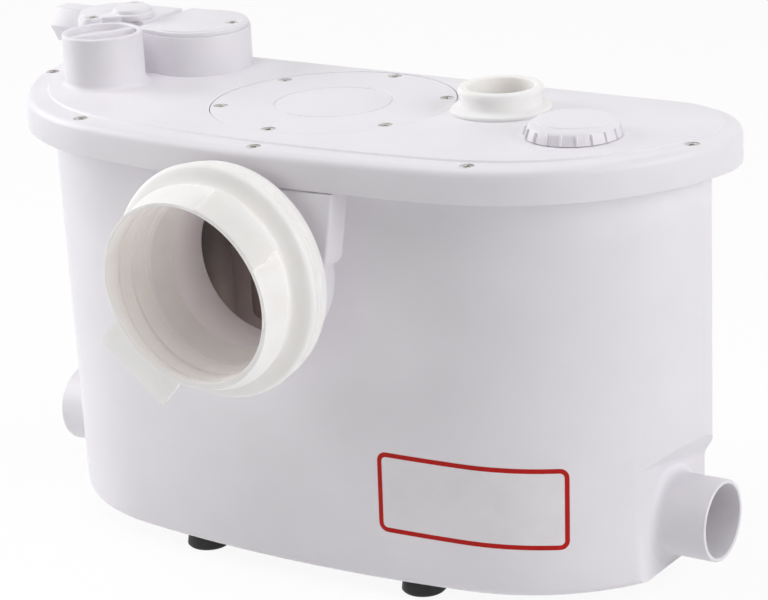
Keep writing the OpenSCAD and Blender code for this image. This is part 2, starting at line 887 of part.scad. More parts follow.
basket_r = basket_d / 2;
module grinding_basket() {
    rows = 2;
    slot_h = (basket_h - 14) / rows;
    color([0.45, 0.46, 0.48])
        on_motor(basket_z)
            difference() {
                union() {
                    tube(basket_r, basket_r - basket_wall, basket_h);
                    cylinder(r = basket_r - 0.5, h = basket_wall);
                    translate([0, 0, basket_h - 3])
                        tube(basket_r + 1.6, basket_r - 1, 3);
                }
                translate([0, 0, -eps])
                    cylinder(d = eye_d, h = 10);
                for (k = [0 : rows - 1])
                    for (i = [0 : basket_slots - 1])
                        rotate((i + k / 2) * 360 / basket_slots)
                            translate([basket_r - basket_wall - 1, -2.5, 5 + k * (slot_h + 2)])
                                cube([basket_wall + 2, 5, slot_h - 2]);
            }
}
module cutter_blade() {
    hub = shaft_d / 2 + 4;
    boss_h = 3 * blade_t;
    color(steel)
        on_motor(blade_z)
            difference() {
                union() {
                    cylinder(r = hub, h = boss_h);
                    for (a = [0, 180])
                        rotate(a) {
                            rotate([90, 0, 90])
                                linear_extrude(blade_d / 2)
                                    polygon([
                                        [-blade_w / 2, 0], [blade_w / 2, 0],
                                        [blade_w / 2 - 2 * blade_t, blade_t], [-blade_w / 2, blade_t]]);
                            translate([blade_d / 2 - tooth_w, -blade_w / 2, 0])
                                cube([tooth_w, blade_w / 2, blade_t + tooth_h]);
                        }
                }
                translate([0, 0, -eps])
                    cylinder(r = shaft_d / 2 + run_fit, h = boss_h + 2 * eps);
            }
}

// Pump

function spiral(r0, n) =
    [for (i = [0 : n])
        let (a = 90 + 360 * i / n, r = r0 + spiral_grow * i / n)
        [r * cos(a), r * sin(a)]];
module pump_casing() {
    color([0.82, 0.82, 0.84])
        difference() {
            union() {
                on_motor(casing_z)
                    linear_extrude(casing_h)
                        polygon(spiral(spiral_r + casing_wall, 40));
                translate([cover_x, pipe_y, pipe_z])
                    rotate([0, -90, 0])
                        cylinder(r = socket_r, h = cover_x - duct_x);
            }
            on_motor(casing_z + casing_wall)
                linear_extrude(casing_h - 2 * casing_wall)
                    polygon(spiral(spiral_r, 40));
            on_motor(casing_top - casing_wall - eps)
                cylinder(d = eye_d, h = casing_wall + 2 * eps);
            translate([cover_x + 6, pipe_y, pipe_z])
                rotate([0, -90, 0])
                    cylinder(r = pipe_bore, h = cover_x - duct_x + 12);
            translate([duct_x + socket_h, pipe_y, pipe_z])
                rotate([0, -90, 0])
                    cylinder(d = pipe_d + 2 * slip, h = socket_h + eps);
        }
}
// One curved vane: the space between two arcs that lean back from the hub to the rim
module vane(r0, r1, t) {
    rr = r1 * 0.62;
    intersection() {
        difference() {
            circle(r = r1);
            circle(r = r0);
        }
        translate([rr, 0])
            difference() {
                circle(r = rr + t / 2);
                circle(r = rr - t / 2);
            }
        translate([-r1, 0])
            square([3 * r1, r1]);
    }
}
module impeller() {
    hub = shaft_d / 2 + 3;
    color([0.30, 0.31, 0.33])
        on_motor(impeller_z)
            difference() {
                union() {
                    cylinder(d = impeller_d, h = 2.5);
                    cylinder(r = hub, h = vane_h + 3);
                    for (i = [0 : vanes - 1])
                        rotate(i * 360 / vanes)
                            translate([0, 0, 1.5])
                                linear_extrude(vane_h + 1)
                                    vane(hub - 1.2, impeller_d / 2 - 0.6, 2.2);
                }
                translate([0, 0, -eps])
                    cylinder(r = shaft_d / 2 + run_fit, h = vane_h + 4);
            }
}

// Discharge line

module discharge_pipe() {
    color(white)
        translate([duct_x + socket_h - slip, pipe_y, pipe_z])
            rotate([0, -90, 0])
                tube(pipe_d / 2, pipe_bore, duct_x + socket_h - slip - elbow_x);
}
module discharge_elbow() {
    color([0.25, 0.25, 0.27])
        translate([elbow_x, pipe_y, pipe_z + elbow_r])
            rotate([90, 0, 0])
                rotate(180)
                    rotate_extrude(angle = 90)
                        translate([elbow_r, 0])
                            difference() {
                                circle(d = pipe_d);
                                circle(r = pipe_bore);
                            }
}
module riser_pipe() {
    color(white)
        translate([-riser_x, riser_y, riser_z])
            tube(pipe_d / 2, pipe_bore, riser_top - riser_z);
}
// Plan of the valve housing, drawn in by d
module valve_plan(d) {
    translate([-valve_x, valve_y])
        circle(r = valve_r - d);
    translate([-valve_x, neck_front + d])
        square([valve_x - neck_end - d, neck_back - neck_front - 2 * d]);
}
ear_r = 5.5;
hex_r = hex_af / sqrt(3);
boss_x = valve_x + valve_r + 1.5;
plug_r = 10;
plug_x = valve_x - 12;
module valve_housing() {
    color(white)
        difference() {
            union() {
                translate([0, 0, lid_z])
                    linear_extrude(valve_h)
                        valve_plan(0);
                for (s = [-1, 1])
                    translate([-valve_x, valve_y + s * plate_pitch / 2, lid_z])
                        cylinder(r = ear_r, h = valve_h);
                translate([-boss_x, outlet_y - hex_r, outlet_z - hex_af / 2])
                    cube([valve_r, 2 * hex_r, valve_top - outlet_z + hex_af / 2]);
            }
            difference() {
                translate([0, 0, valve_seat_z])
                    linear_extrude(chamber_top - valve_seat_z)
                        valve_plan(valve_wall);
                translate([-riser_x - lug_x - lug_t, pin_y - knuckle_r, valve_seat_z - eps])
                    cube([lug_t, 3 * knuckle_r, pin_z - valve_seat_z + knuckle_r + eps]);
                for (s = [-1, 1])
                    translate([-valve_x, valve_y + s * plate_pitch / 2, lid_z])
                        cylinder(r = ear_r - 1.5, h = valve_h);
            }
            translate([-riser_x, riser_y, lid_z - eps])
                cylinder(d = pipe_d + 2 * slip, h = riser_top - lid_z + eps);
            translate([-riser_x, riser_y, lid_z])
                cylinder(r = pipe_bore, h = valve_seat_z - lid_z + eps);
            translate([-riser_x - lug_x - lug_t, pin_y, pin_z])
                rotate([0, 90, 0])
                    cylinder(r = pin_d / 2 + run_fit, h = pin_len);
            translate([-boss_x - eps, outlet_y, outlet_z])
                rotate([0, 90, 0])
                    cylinder(r = outlet_bore / 2 + 2 + slip, h = nipple_in + slip + eps);
            translate([-boss_x - eps, outlet_y, outlet_z])
                rotate([0, 90, 0])
                    cylinder(d = outlet_bore + 4 * slip, h = valve_r);
            for (s = [-1, 1])
                translate([-valve_x, valve_y + s * plate_pitch / 2, valve_top + plate_t - 0.4])
                    screw_hole(plate_screw_len);
        }
}
module flap() {
    color([0.20, 0.20, 0.22])
        difference() {
            union() {
                translate([-riser_x, riser_y, valve_seat_z + 0.1])
                    cylinder(r = flap_r, h = flap_t);
                translate([-riser_x - 4, riser_y, valve_seat_z + 0.1])
                    cube([8, pin_y - riser_y, flap_t]);
                translate([-riser_x - lug_x + 0.3, pin_y, pin_z])
                    rotate([0, 90, 0])
                        cylinder(r = knuckle_r, h = knuckle_len);
            }
            translate([-riser_x - lug_x, pin_y, pin_z])
                rotate([0, 90, 0])
                    cylinder(r = pin_d / 2 + run_fit, h = pin_len);
        }
}
module flap_pin() {
    color(steel)
        translate([-riser_x - lug_x - lug_t, pin_y, pin_z])
            rotate([0, 90, 0])
                cylinder(d = pin_d, h = pin_len - slip);
}
module valve_plate() {
    color(white)
        difference() {
            union() {
                translate([0, 0, valve_top])
                    linear_extrude(plate_t)
                        union() {
                            translate([-valve_x, valve_y])
                                circle(r = valve_r - 1.2);
                            for (s = [-1, 1])
                                translate([-valve_x, valve_y + s * plate_pitch / 2])
                                    circle(r = ear_r);
                            translate([-plug_x, valve_y + 0.8])
                                circle(r = plug_r + 1.4);
                        }
                translate([-plug_x, valve_y + 0.8, valve_top + plate_t - eps])
                    rotate_extrude()
                        polygon([
                            [0, 0], [plug_r, 0], [plug_r, 1.8 + eps],
                            [plug_r - 0.8, 2.6 + eps], [0, 2.6 + eps]]);
            }
            for (s = [-1, 1])
                translate([-valve_x, valve_y + s * plate_pitch / 2, valve_top + plate_t - 0.4])
                    screw_hole(plate_screw_len);
        }
}
module plate_screws() {
    color(steel)
        for (s = [-1, 1])
            translate([-valve_x, valve_y + s * plate_pitch / 2, valve_top + plate_t - 0.4])
                screw(plate_screw_len - 0.3);
}
module outlet_nipple() {
    color(white)
        translate([-boss_x, outlet_y, outlet_z])
            rotate([0, -90, 0])
                difference() {
                    union() {
                        rotate(30)
                            cylinder(r = hex_r, h = outlet_end - boss_x, $fn = 6);
                        translate([0, 0, -nipple_in])
                            cylinder(r = outlet_bore / 2 + 2, h = nipple_in + eps);
                    }
                    translate([0, 0, -nipple_in - eps])
                        cylinder(d = outlet_bore, h = outlet_end - boss_x + nipple_in + 2 * eps);
                }
}

// Control box

module box_plan(d) {
    x0 = reveal + d - neck_end;
    intersection() {
        translate([-box_x, box_y])
            circle(r = box_r - d);
        translate([x0 + 1, box_y - box_r - eps])
            square([box_r - box_x - x0, 2 * box_r + 2 * eps]);
    }
    translate([x0, box_y - box_r + box_front_in + d])
        square([-box_x - x0, 2 * (box_r - d) - box_front_in - box_back_in]);
}
box_posts = [for (a = [10]) [-box_x + (box_r - 8) * cos(a), box_y + (box_r - 8) * sin(a)]];
box_screw_len = box_cover_t + 9;
post_r = 3.6;
module control_box() {
    color(white)
        difference() {
            union() {
                difference() {
                    translate([0, 0, lid_z])
                        linear_extrude(box_rim - lid_z)
                            box_plan(0.5);
                    translate([0, 0, switch_z])
                        linear_extrude(box_h)
                            box_plan(0.5 + box_wall);
                }
                for (p = box_posts)
                    translate([p[0], p[1], lid_z])
                        cylinder(r = post_r, h = box_rim - lid_z);
            }
            translate([-box_x, box_y, lid_z - eps])
                cylinder(d = 6, h = 5);
            for (p = box_posts)
                translate([p[0], p[1], box_top - 0.3])
                    screw_hole(box_screw_len);
            translate([-box_x, box_y + box_r / 2, gland_z])
                rotate([-90, 0, 0])
                    cylinder(r = gland_r + slip, h = box_r);
        }
}
module box_cover() {
    color(white)
        difference() {
            union() {
                translate([0, 0, box_rim])
                    linear_extrude(box_cover_t - 0.8)
                        box_plan(0);
                translate([0, 0, box_rim + eps])
                    linear_extrude(box_cover_t - eps)
                        box_plan(0.8);
            }
            for (p = box_posts)
                translate([p[0], p[1], box_top - 0.3])
                    screw_hole(box_screw_len);
        }
}
module box_screws() {
    color(steel)
        for (p = box_posts)
            translate([p[0], p[1], box_top - 0.3])
                screw(box_screw_len - 0.3);
}
module air_bell() {
    color([0.80, 0.80, 0.82])
        translate([-box_x, box_y, plate_low - bell_len])
            difference() {
                cylinder(d = bell_d, h = bell_len);
                translate([0, 0, -eps])
                    cylinder(r = bell_d / 2 - 1.6, h = bell_len - 3 + eps);
                cylinder(d = 6, h = bell_len + eps);
            }
}
module pressure_switch() {
    color([0.20, 0.22, 0.28])
        translate([-box_x, box_y, switch_z])
            difference() {
                cylinder(r = switch_r, h = switch_h);
                translate([0, 0, -eps])
                    cylinder(d = 6, h = 2);
                translate([0, 0, 1])
                    cylinder(r = switch_r - 2, h = 1.5);
                translate([0, 0, 2])
                    cylinder(r = plunger_r + run_fit, h = switch_h);
            }
}
module plunger() {
    color([0.85, 0.55, 0.15])
        translate([-box_x, box_y, switch_z + 2.8])
            cylinder(r = plunger_r, h = switch_h - 2.8 + 1.4);
}
module microswitch() {
    z = switch_z + switch_h;
    gap = plunger_travel + 1.6;
    color([0.12, 0.12, 0.13])
        translate([-box_x, box_y, z])
            difference() {
                translate([-switch_r + 1, -4, 0])
                    cube([2 * switch_r - 2, 8, box_rim - z - 0.6]);
                translate([-plunger_r - 1.5, -5, -eps])
                    cube([2 * plunger_r + 3, 10, gap + eps]);
            }
}
module capacitor() {
    color([0.75, 0.76, 0.78])
        translate([-box_x, box_y - switch_r - capacitor_r - 1, switch_z])
            cylinder(r = capacitor_r, h = box_rim - switch_z - 2);
}
module terminal_block() {
    color([0.55, 0.57, 0.60])
        translate([-box_x - 8, box_y + switch_r + 2, switch_z])
            difference() {
                cube([16, 5.5, 9]);
                for (i = [0 : 2])
                    translate([3 + 5 * i, 2.75, 4])
                        cylinder(d = 2.6, h = 6);
            }
}
module cable_gland() {
    color([0.25, 0.25, 0.27])
        translate([-box_x, box_y + box_r - 4.5, gland_z])
            rotate([-90, 0, 0])
                difference() {
                    union() {
                        cylinder(r = gland_r, h = 6);
                        translate([0, 0, 4.5])
                            cylinder(r = gland_r + 2.2, h = 5, $fn = 6);
                        translate([0, 0, 9])
                            cylinder(r = gland_r + 0.6, h = 2.5);
                    }
                    translate([0, 0, -eps])
                        cylinder(r = gland_r - 2, h = 14);
                }
}

// Rubber sleeves

// Places a child on the mouth plane: its z runs out of the mouth
module in_mouth() {
    on_inlet(mouth_y)
        rotate([mouth_tilt, 0, 0])
            children();
}
module toilet_sleeve() {
    rc = collar_d / 2;
    ri = stub_d / 2 + slip;
    rl = land_d / 2;
    rm = mouth_d / 2;
    ro = rm + lip_t;
    c = collar_len;
    f = c + groove_w;
    z1 = land_y - collar_y;
    z2 = z1 + land_len;
    z3 = z2 + mouth_len;
    spare = 12;
    color(soft_white)
        difference() {
            union() {
                on_inlet(collar_y)
                    rotate_extrude()
                        polygon([
                            [ri, 0], [rc - 3.6, 0], [rc - 2.2, 1.2], [rc - 1.6, 3], [rc - 0.9, c - 10],
                            [rc - 2, c - 9.4], [rc - 2, c - 8.6], [rc - 0.6, c - 8], [rc - 0.6, c - 7],
                            [rc - 1.8, c - 6.4], [rc - 1.8, c - 5.6], [rc - 0.3, c - 5], [rc, c - 3],
                            [rc - 0.5, c - 1], [rc - 1.8, c], [ro + 2.6, c + 0.6], [ro + 0.8, c + 2],
                            [ro + 0.8, f - 1], [ro + 3, f - 0.4], [ro + 3.8, f + 1.2],
                            [ro, z3 + spare], [rm, z3 + spare], [rm, z2], [rl, z2], [rl, z1], [ri, z1]]);
                in_mouth()
                    for (t = [[tab_turn, tab_reach], [tab_turn_low + 180, tab_reach_low]])
                        rotate(t[0])
                            difference() {
                                translate([rm / 2, -tab_w / 2, -tab_t])
                                    cube([t[1] - rm / 2, tab_w, tab_t + eps]);
                                rotate(-t[0])
                                    rotate([-mouth_tilt, 0, 0])
                                        translate([0, 0, -60])
                                            cylinder(r = rm + 0.6, h = 120);
                            }
            }
            in_mouth()
                translate([-rc - 20, -rc - 20, 0])
                    cube([2 * rc + 40, 2 * rc + 40, 60]);
        }
}
module top_sleeve() {
    r = top_bore / 2;
    color(soft_white)
        translate([top_x, top_y, lid_z])
            rotate_extrude()
                polygon([
                    [r, -cover_t - 4], [r + 4.2, -cover_t - 4],
                    [r + 4.8, -cover_t - 2.5], [r + 4.8, -cover_t],
                    [top_neck_r, -cover_t], [top_neck_r, 0], [top_flange_r, 0], [top_flange_r, 1.6],
                    [top_flange_r - 0.8, 2.4], [r + 4.6, 2.8], [r + 3.7, 3.8], [r + 3.5, top_h - 4.6],
                    [r + 4, top_h - 4], [r + 4.4, top_h - 3.2], [r + 4.5, top_h - 1.6],
                    [r + 3.6, top_h - 0.4], [r + 2.2, top_h], [r + 0.6, top_h - 0.4], [r, top_h - 1.2]]);
}

// Screw cap and vent plug

washer_t = 1.5;
cap_gap = 0.3;
cap_in = spout_h + washer_t;
module cap_washer() {
    color(black)
        translate([cap_x, cap_y, lid_z + spout_h])
            tube(spout_r - 0.2, spout_r - spout_wall - 1.5, washer_t);
}
module screw_cap() {
    rc = cap_d / 2;
    color(white)
        translate([cap_x, cap_y, lid_z])
            union() {
                rotate_extrude()
                    polygon([
                        [spout_r + cap_gap, cap_gap], [rc - 0.9, cap_gap], [rc - 0.9, cap_h - 4.4],
                        [rc - 1.8, cap_h - 2.6], [rc - 3.4, cap_h - 1.6], [rc - 9, cap_h - 0.5], [0, cap_h],
                        [0, cap_in], [spout_r + cap_gap, cap_in]]);
                for (i = [0 : cap_ribs - 1])
                    rotate(i * 360 / cap_ribs)
                        translate([rc - 2.4, -0.55, cap_gap + 0.4])
                            cube([2.4, 1.1, cap_h - 3.5 - cap_gap]);
            }
}
plug_out = vent_d / 2 - vent_wall - 0.3;
plug_h = 9;
plug_drop = 3.4;
module vent_tube() {
    color(white)
        translate([vent_x, vent_y, lid_z])
            difference() {
                union() {
                    cylinder(d = vent_d, h = vent_h);
                    flare(vent_d / 2, 3);
                }
                translate([0, 0, vent_floor])
                    cylinder(d = vent_d - 2 * vent_wall, h = vent_h);
                translate([0, 0, -eps])
                    cylinder(d = vent_hole_d, h = vent_h);
            }
}
module vent_filter() {
    color([0.16, 0.16, 0.17])
        translate([vent_x, vent_y, lid_z + vent_floor])
            cylinder(r = plug_out, h = vent_h - vent_floor - plug_drop - plug_h);
}
module vent_plug() {
    color(white)
        translate([vent_x, vent_y, lid_z + vent_h - plug_drop - plug_h])
            union() {
                cylinder(r = plug_out, h = plug_h);
                rotate(vent_bar_turn)
                    translate([-plug_out + 0.6, -1.6, plug_h - eps])
                        cube([2 * plug_out - 1.2, 3.2, plug_drop - 0.4 + eps]);
            }
}

tank();
inlet_stub();
left_spigot();
right_spigot();
feet_set();
foot_screws();
lid();
lid_gasket();
lid_screws();
access_cover();
access_seal();
access_screws();
motor_can();
upper_bearing();
lower_bearing();
shaft_seal();
stator();
windings();
rotor();
shaft();
grinding_basket();
cutter_blade();
pump_casing();
impeller();
discharge_pipe();
discharge_elbow();
riser_pipe();
valve_housing();
flap();
flap_pin();
valve_plate();
plate_screws();
outlet_nipple();
control_box();
box_cover();
box_screws();
air_bell();
pressure_switch();
plunger();
microswitch();
capacitor();
terminal_block();
cable_gland();
toilet_sleeve();
top_sleeve();
cap_washer();
screw_cap();
vent_tube();
vent_filter();
vent_plug();
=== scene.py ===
import bpy
import bmesh
import json
import math
from mathutils import Matrix, Vector


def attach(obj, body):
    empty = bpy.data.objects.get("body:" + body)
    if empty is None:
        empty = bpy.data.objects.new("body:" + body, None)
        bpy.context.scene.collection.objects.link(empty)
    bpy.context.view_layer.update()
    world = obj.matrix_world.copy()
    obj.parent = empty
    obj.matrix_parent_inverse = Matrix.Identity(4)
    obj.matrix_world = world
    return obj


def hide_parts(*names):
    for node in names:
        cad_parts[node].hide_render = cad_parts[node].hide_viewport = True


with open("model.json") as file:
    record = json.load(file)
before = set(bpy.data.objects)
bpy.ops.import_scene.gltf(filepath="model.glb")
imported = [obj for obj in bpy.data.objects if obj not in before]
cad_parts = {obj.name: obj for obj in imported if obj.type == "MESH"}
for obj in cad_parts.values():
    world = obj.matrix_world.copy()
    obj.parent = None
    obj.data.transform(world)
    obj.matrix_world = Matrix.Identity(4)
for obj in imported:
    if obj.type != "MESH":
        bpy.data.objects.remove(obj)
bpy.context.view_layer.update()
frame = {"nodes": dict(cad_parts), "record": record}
scene = bpy.context.scene
mm = 0.001
near = 1e-6  # metres: points this close are in the same place
weld = 1e-7  # metres: corners this close become one
smoothBelow = 35  # degrees: a sharper edge stays sharp in the shading
quarter = math.pi / 2
unmoved = Matrix.Identity(4)
print("frame loaded:", len(frame["nodes"]), "solids")


def rgb(code):  # sRGB hex to linear
    parts = [int(code[i:i + 2], 16) / 255 for i in (1, 3, 5)]
    return [p / 12.92 if p <= 0.04045 else ((p + 0.055) / 1.055) ** 2.4 for p in parts] + [1.0]


def addNode(tree, kind, inputs=None, **settings):
    node = tree.nodes.new(kind)
    for key, value in settings.items():
        setattr(node, key, value)
    for key, value in (inputs or {}).items():
        if isinstance(value, bpy.types.NodeSocket):
            tree.links.new(value, node.inputs[key])
        else:
            node.inputs[key].default_value = value
    return node


def startMaterial(name):
    mat = bpy.data.materials.new(name)
    mat.use_nodes = True
    tree = mat.node_tree
    return mat, tree, tree.nodes["Principled BSDF"]


toneSpan = (0.32, 0.68)  # the stretch of the cloud over which the tone changes
glossSpan = (0.3, 0.7)
milkyReach = (1.0, 0.93, 0.87)  # how far red, green and blue wander under the skin


# Every finish: two tones over a soft cloud, a gloss that wanders, and the relief of a real grain,
# all of them sized in millimetres
def finish(name, look):
    mat, tree, skin = startMaterial(name)
    place = addNode(tree, "ShaderNodeTexCoord").outputs["Object"]
    cloud = addNode(tree, "ShaderNodeTexNoise", {
        "Vector": place, "Scale": 1 / (look["cloud"] * mm), "Detail": 3.0, "Roughness": 0.55})
    tone = addNode(tree, "ShaderNodeValToRGB", {"Fac": cloud.outputs["Fac"]})
    for i, code in enumerate((look["dark"], look["pale"])):
        tone.color_ramp.elements[i].position = toneSpan[i]
        tone.color_ramp.elements[i].color = rgb(code)
    tree.links.new(tone.outputs["Color"], skin.inputs["Base Color"])
    low, high = look["rough"]
    gloss = addNode(tree, "ShaderNodeMapRange", {
        "Value": cloud.outputs["Fac"], "From Min": glossSpan[0], "From Max": glossSpan[1],
        "To Min": low, "To Max": high})
    tree.links.new(gloss.outputs["Result"], skin.inputs["Roughness"])
    grain = addNode(tree, "ShaderNodeTexNoise", {
        "Vector": place, "Scale": 1 / (look["grain"] * mm), "Detail": 2.0})
    relief = addNode(tree, "ShaderNodeBump", {
        "Height": grain.outputs["Fac"], "Strength": look["bump"], "Distance": look["depth"] * mm})
    tree.links.new(relief.outputs["Normal"], skin.inputs["Normal"])
    skin.inputs["Metallic"].default_value = look.get("metal", 0.0)
    if "ior" in look:
        skin.inputs["IOR"].default_value = look["ior"]
    if "glow" in look:  # light that wanders under the skin
        skin.inputs["Subsurface Weight"].default_value = look["glow"]
        skin.inputs["Subsurface Radius"].default_value = milkyReach
        skin.inputs["Subsurface Scale"].default_value = look["glowDepth"] * mm
    return mat


looks = {
    # ABS, injection moulded in a polished tool: even, cool white, a soft sheen, a trace of peel
    "mouldedAbs": {"pale": "#F1EEF3", "dark": "#ECE9EE", "rough": (0.42, 0.50), "cloud": 60,
                   "grain": 1.6, "bump": 0.05, "depth": 0.05, "ior": 1.53},
    # silicone-like rubber, moulded: warm white, milky, dull
    "milkyRubber": {"pale": "#FBF9F7", "dark": "#F6F3F1", "rough": (0.42, 0.55), "cloud": 22,
                    "grain": 0.9, "bump": 0.08, "depth": 0.06, "ior": 1.43,
                    "glow": 0.6, "glowDepth": 4},
    # EPDM rubber, moulded: near black with a grey bloom
    "blackEpdm": {"pale": "#151516", "dark": "#0B0B0C", "rough": (0.55, 0.72), "cloud": 8,
                  "grain": 0.6, "bump": 0.2, "depth": 0.08, "ior": 1.5},
    # zinc-plated screw steel: grey brown, dull
    "platedSteel": {"pale": "#D6D3D1", "dark": "#A5A09B", "rough": (0.35, 0.5), "cloud": 2.5,
                    "grain": 0.5, "bump": 0.12, "depth": 0.03, "metal": 1.0},
    # turned and pressed steel
    "plainSteel": {"pale": "#B9BBBF", "dark": "#A2A5AA", "rough": (0.24, 0.38), "cloud": 14,
                   "grain": 0.7, "bump": 0.08, "depth": 0.03, "metal": 1.0},
    # the motor can's steel, dull and non-metal in a warm pale grey: the pale warm tone is painted
    # light for the light the walls let into the dark tank
    "canPaintedLight": {"pale": "#CFC3BB", "dark": "#BDB0A8", "rough": (0.6, 0.72), "cloud": 25,
                    "grain": 1.4, "bump": 0.1, "depth": 0.05, "ior": 1.5},
    # pressed stainless of the basket, a little scuffed
    "pressedSteel": {"pale": "#9DA0A4", "dark": "#83868B", "rough": (0.34, 0.5), "cloud": 9,
                     "grain": 0.8, "bump": 0.14, "depth": 0.04, "metal": 1.0},
    # enamelled copper wire, wound: the fine grain stands for the strands
    "enamelCopper": {"pale": "#C07A45", "dark": "#8C4F28", "rough": (0.3, 0.42), "cloud": 3,
                     "grain": 0.8, "bump": 0.5, "depth": 0.2, "metal": 1.0},
    # grey polypropylene, moulded, matt
    "greyPolypropylene": {"pale": "#C6C6C9", "dark": "#B5B5B9", "rough": (0.42, 0.55),
                          "cloud": 20, "grain": 1.2, "bump": 0.08, "depth": 0.05, "ior": 1.49},
    # dark filled nylon
    "darkNylon": {"pale": "#3A3B3E", "dark": "#26272A", "rough": (0.45, 0.6), "cloud": 12,
                  "grain": 0.8, "bump": 0.14, "depth": 0.05, "ior": 1.53},
    # amber acetal of the plunger
    "amberAcetal": {"pale": "#D99237", "dark": "#C47E28", "rough": (0.3, 0.4), "cloud": 5,
                    "grain": 0.8, "bump": 0.06, "depth": 0.03, "ior": 1.48},
    # charcoal foam, open cells about a millimetre wide
    "charcoalFoam": {"pale": "#2F2F31", "dark": "#141415", "rough": (0.8, 0.95), "cloud": 1.6,
                     "grain": 1.1, "bump": 0.8, "depth": 0.5, "ior": 1.45},
    # coated paper of the sticker
    "stickerPaper": {"pale": "#EFECF0", "dark": "#EAE7EB", "rough": (0.34, 0.42), "cloud": 18,
                     "grain": 0.5, "bump": 0.04, "depth": 0.02, "ior": 1.5},
    # red ink on that paper
    "stickerRed": {"pale": "#C0180E", "dark": "#B6140B", "rough": (0.5, 0.6), "cloud": 9,
                   "grain": 0.5, "bump": 0.04, "depth": 0.02, "ior": 1.3},
}
finishes = {name: finish(name, look) for name, look in looks.items()}
slotFinish = {
    "white_plastic": "mouldedAbs", "soft_rubber": "milkyRubber", "black_rubber": "blackEpdm",
    "screw_steel": "platedSteel", "steel": "plainSteel", "copper": "enamelCopper",
    "grinder_steel": "pressedSteel", "grey_plastic": "greyPolypropylene",
    "dark_plastic": "darkNylon", "amber_plastic": "amberAcetal", "filter": "charcoalFoam"}
slotOf = {row["node"]: row["material_slot"] for row in frame["record"]["subparts"]}
for name, node in frame["nodes"].items():
    node.data.materials.clear()
    node.data.materials.append(finishes[slotFinish[slotOf[name]]])
# the motor can gets the pale warm coat: painted light for the light the walls let into the tank
frame["nodes"]["motor_can"].data.materials[0] = finishes["canPaintedLight"]
print("finishes on", len(frame["nodes"]), "solids")


def plainObject(name, bm):
    mesh = bpy.data.meshes.new(name)
    bm.to_mesh(mesh)
    bm.free()
    obj = bpy.data.objects.new(name, mesh)
    scene.collection.objects.link(obj)
    return obj


# Camera, floor and light
camera = {"place": (780.34, -1156.10, 572.92), "azimuth": 33.815, "elevation": 18.028,
          "roll": -2.929, "lens": 137.118, "sensor": 36, "farEnd": 60}
azimuth, elevation, roll = (
    math.radians(camera[key]) for key in ("azimuth", "elevation", "roll"))
right = Vector((math.cos(azimuth), math.sin(azimuth), 0))
backward = Vector((math.sin(azimuth) * math.cos(elevation),
                   -math.cos(azimuth) * math.cos(elevation), math.sin(elevation)))
up = backward.cross(right)
turned = Matrix([right * math.cos(roll) + up * math.sin(roll),
                 up * math.cos(roll) - right * math.sin(roll), backward])
lens = bpy.data.cameras.new("photoCamera")
lens.lens = camera["lens"]
lens.sensor_width = camera["sensor"]
lens.clip_end = camera["farEnd"]
eye = bpy.data.objects.new("photoCamera", lens)
eye.matrix_world = (Matrix.Translation(Vector(camera["place"]) * mm)
                    @ turned.transposed().to_4x4())
scene.collection.objects.link(eye)
scene.camera = eye
scene.view_settings.view_transform = "Standard"

studio = {"floorHalf": 15, "floorSeen": 0.92, "paper": "#FCFCFC", "paperRough": 0.9,
          "air": 0.07, "aim": (0, 0, 0.12), "insideSize": 0.008,
          "lamps": {"overhead": ((-0.1, -0.3, 1.9), 1.8, 17),
                    "left": ((-1.9, -0.5, 0.9), 1.4, 26),
                    "right": ((1.9, 0.0, 0.9), 1.4, 20),
                    "backTop": ((0.0, 1.6, 1.5), 1.4, 3.5)},
          "inside": {"inlet": ((-0.009, -0.110, 0.163), 0.009, (1, 0.84, 0.77)),
                     "chamber": ((-0.070, 0.000, 0.090), 0.010, (1, 0.76, 0.68)),
                     "top": ((0.0765, 0.0045, 0.222), 0.0018, (1, 0.93, 0.90))}}
white = (1, 1, 1, 1)


def combine(tree, how, first, second):
    return addNode(tree, "ShaderNodeMath", {0: first, 1: second}, operation=how).outputs[0]


def seenRay(tree):  # 1 where the eye, a gloss or a clear wall looks straight at it
    path = addNode(tree, "ShaderNodeLightPath").outputs
    some = combine(tree, "MAXIMUM", path["Is Camera Ray"], path["Is Glossy Ray"])
    return combine(tree, "MAXIMUM", some, path["Is Transmission Ray"])


world = bpy.data.worlds.new("studioAir")
scene.world = world
world.use_nodes = True
air = world.node_tree
level = addNode(air, "ShaderNodeMapRange", {
    "Value": seenRay(air), "To Min": studio["air"], "To Max": 1.0})
air.nodes["Background"].inputs["Color"].default_value = white
air.links.new(level.outputs["Result"], air.nodes["Background"].inputs["Strength"])

# matt studio paper: seen straight on it is nearly white, and it keeps the shadow
paper, tree, skin = startMaterial("studioPaper")
skin.inputs["Base Color"].default_value = rgb(studio["paper"])
skin.inputs["Roughness"].default_value = studio["paperRough"]
glow = addNode(tree, "ShaderNodeEmission", {"Color": white, "Strength": 1.0})
share = combine(tree, "MULTIPLY", seenRay(tree), studio["floorSeen"])
both = addNode(tree, "ShaderNodeMixShader", {0: share, 1: skin.outputs[0], 2: glow.outputs[0]})
tree.links.new(both.outputs[0], tree.nodes["Material Output"].inputs["Surface"])
bm = bmesh.new()
bmesh.ops.create_grid(bm, x_segments=2, y_segments=2, size=studio["floorHalf"])
floor = plainObject("floor", bm)
floor.data.materials.append(paper)


def addLamp(name, kind, place, watts):
    obj = bpy.data.objects.new(name, bpy.data.lights.new(name, kind))
    obj.data.energy = watts
    obj.location = place
    scene.collection.objects.link(obj)
    return obj


for name, (place, size, watts) in studio["lamps"].items():
    obj = addLamp(name, "AREA", place, watts)
    obj.data.shape = "DISK"
    obj.data.size = size
    away = Vector(studio["aim"]) - Vector(place)
    obj.rotation_euler = away.to_track_quat("-Z", "Y").to_euler()
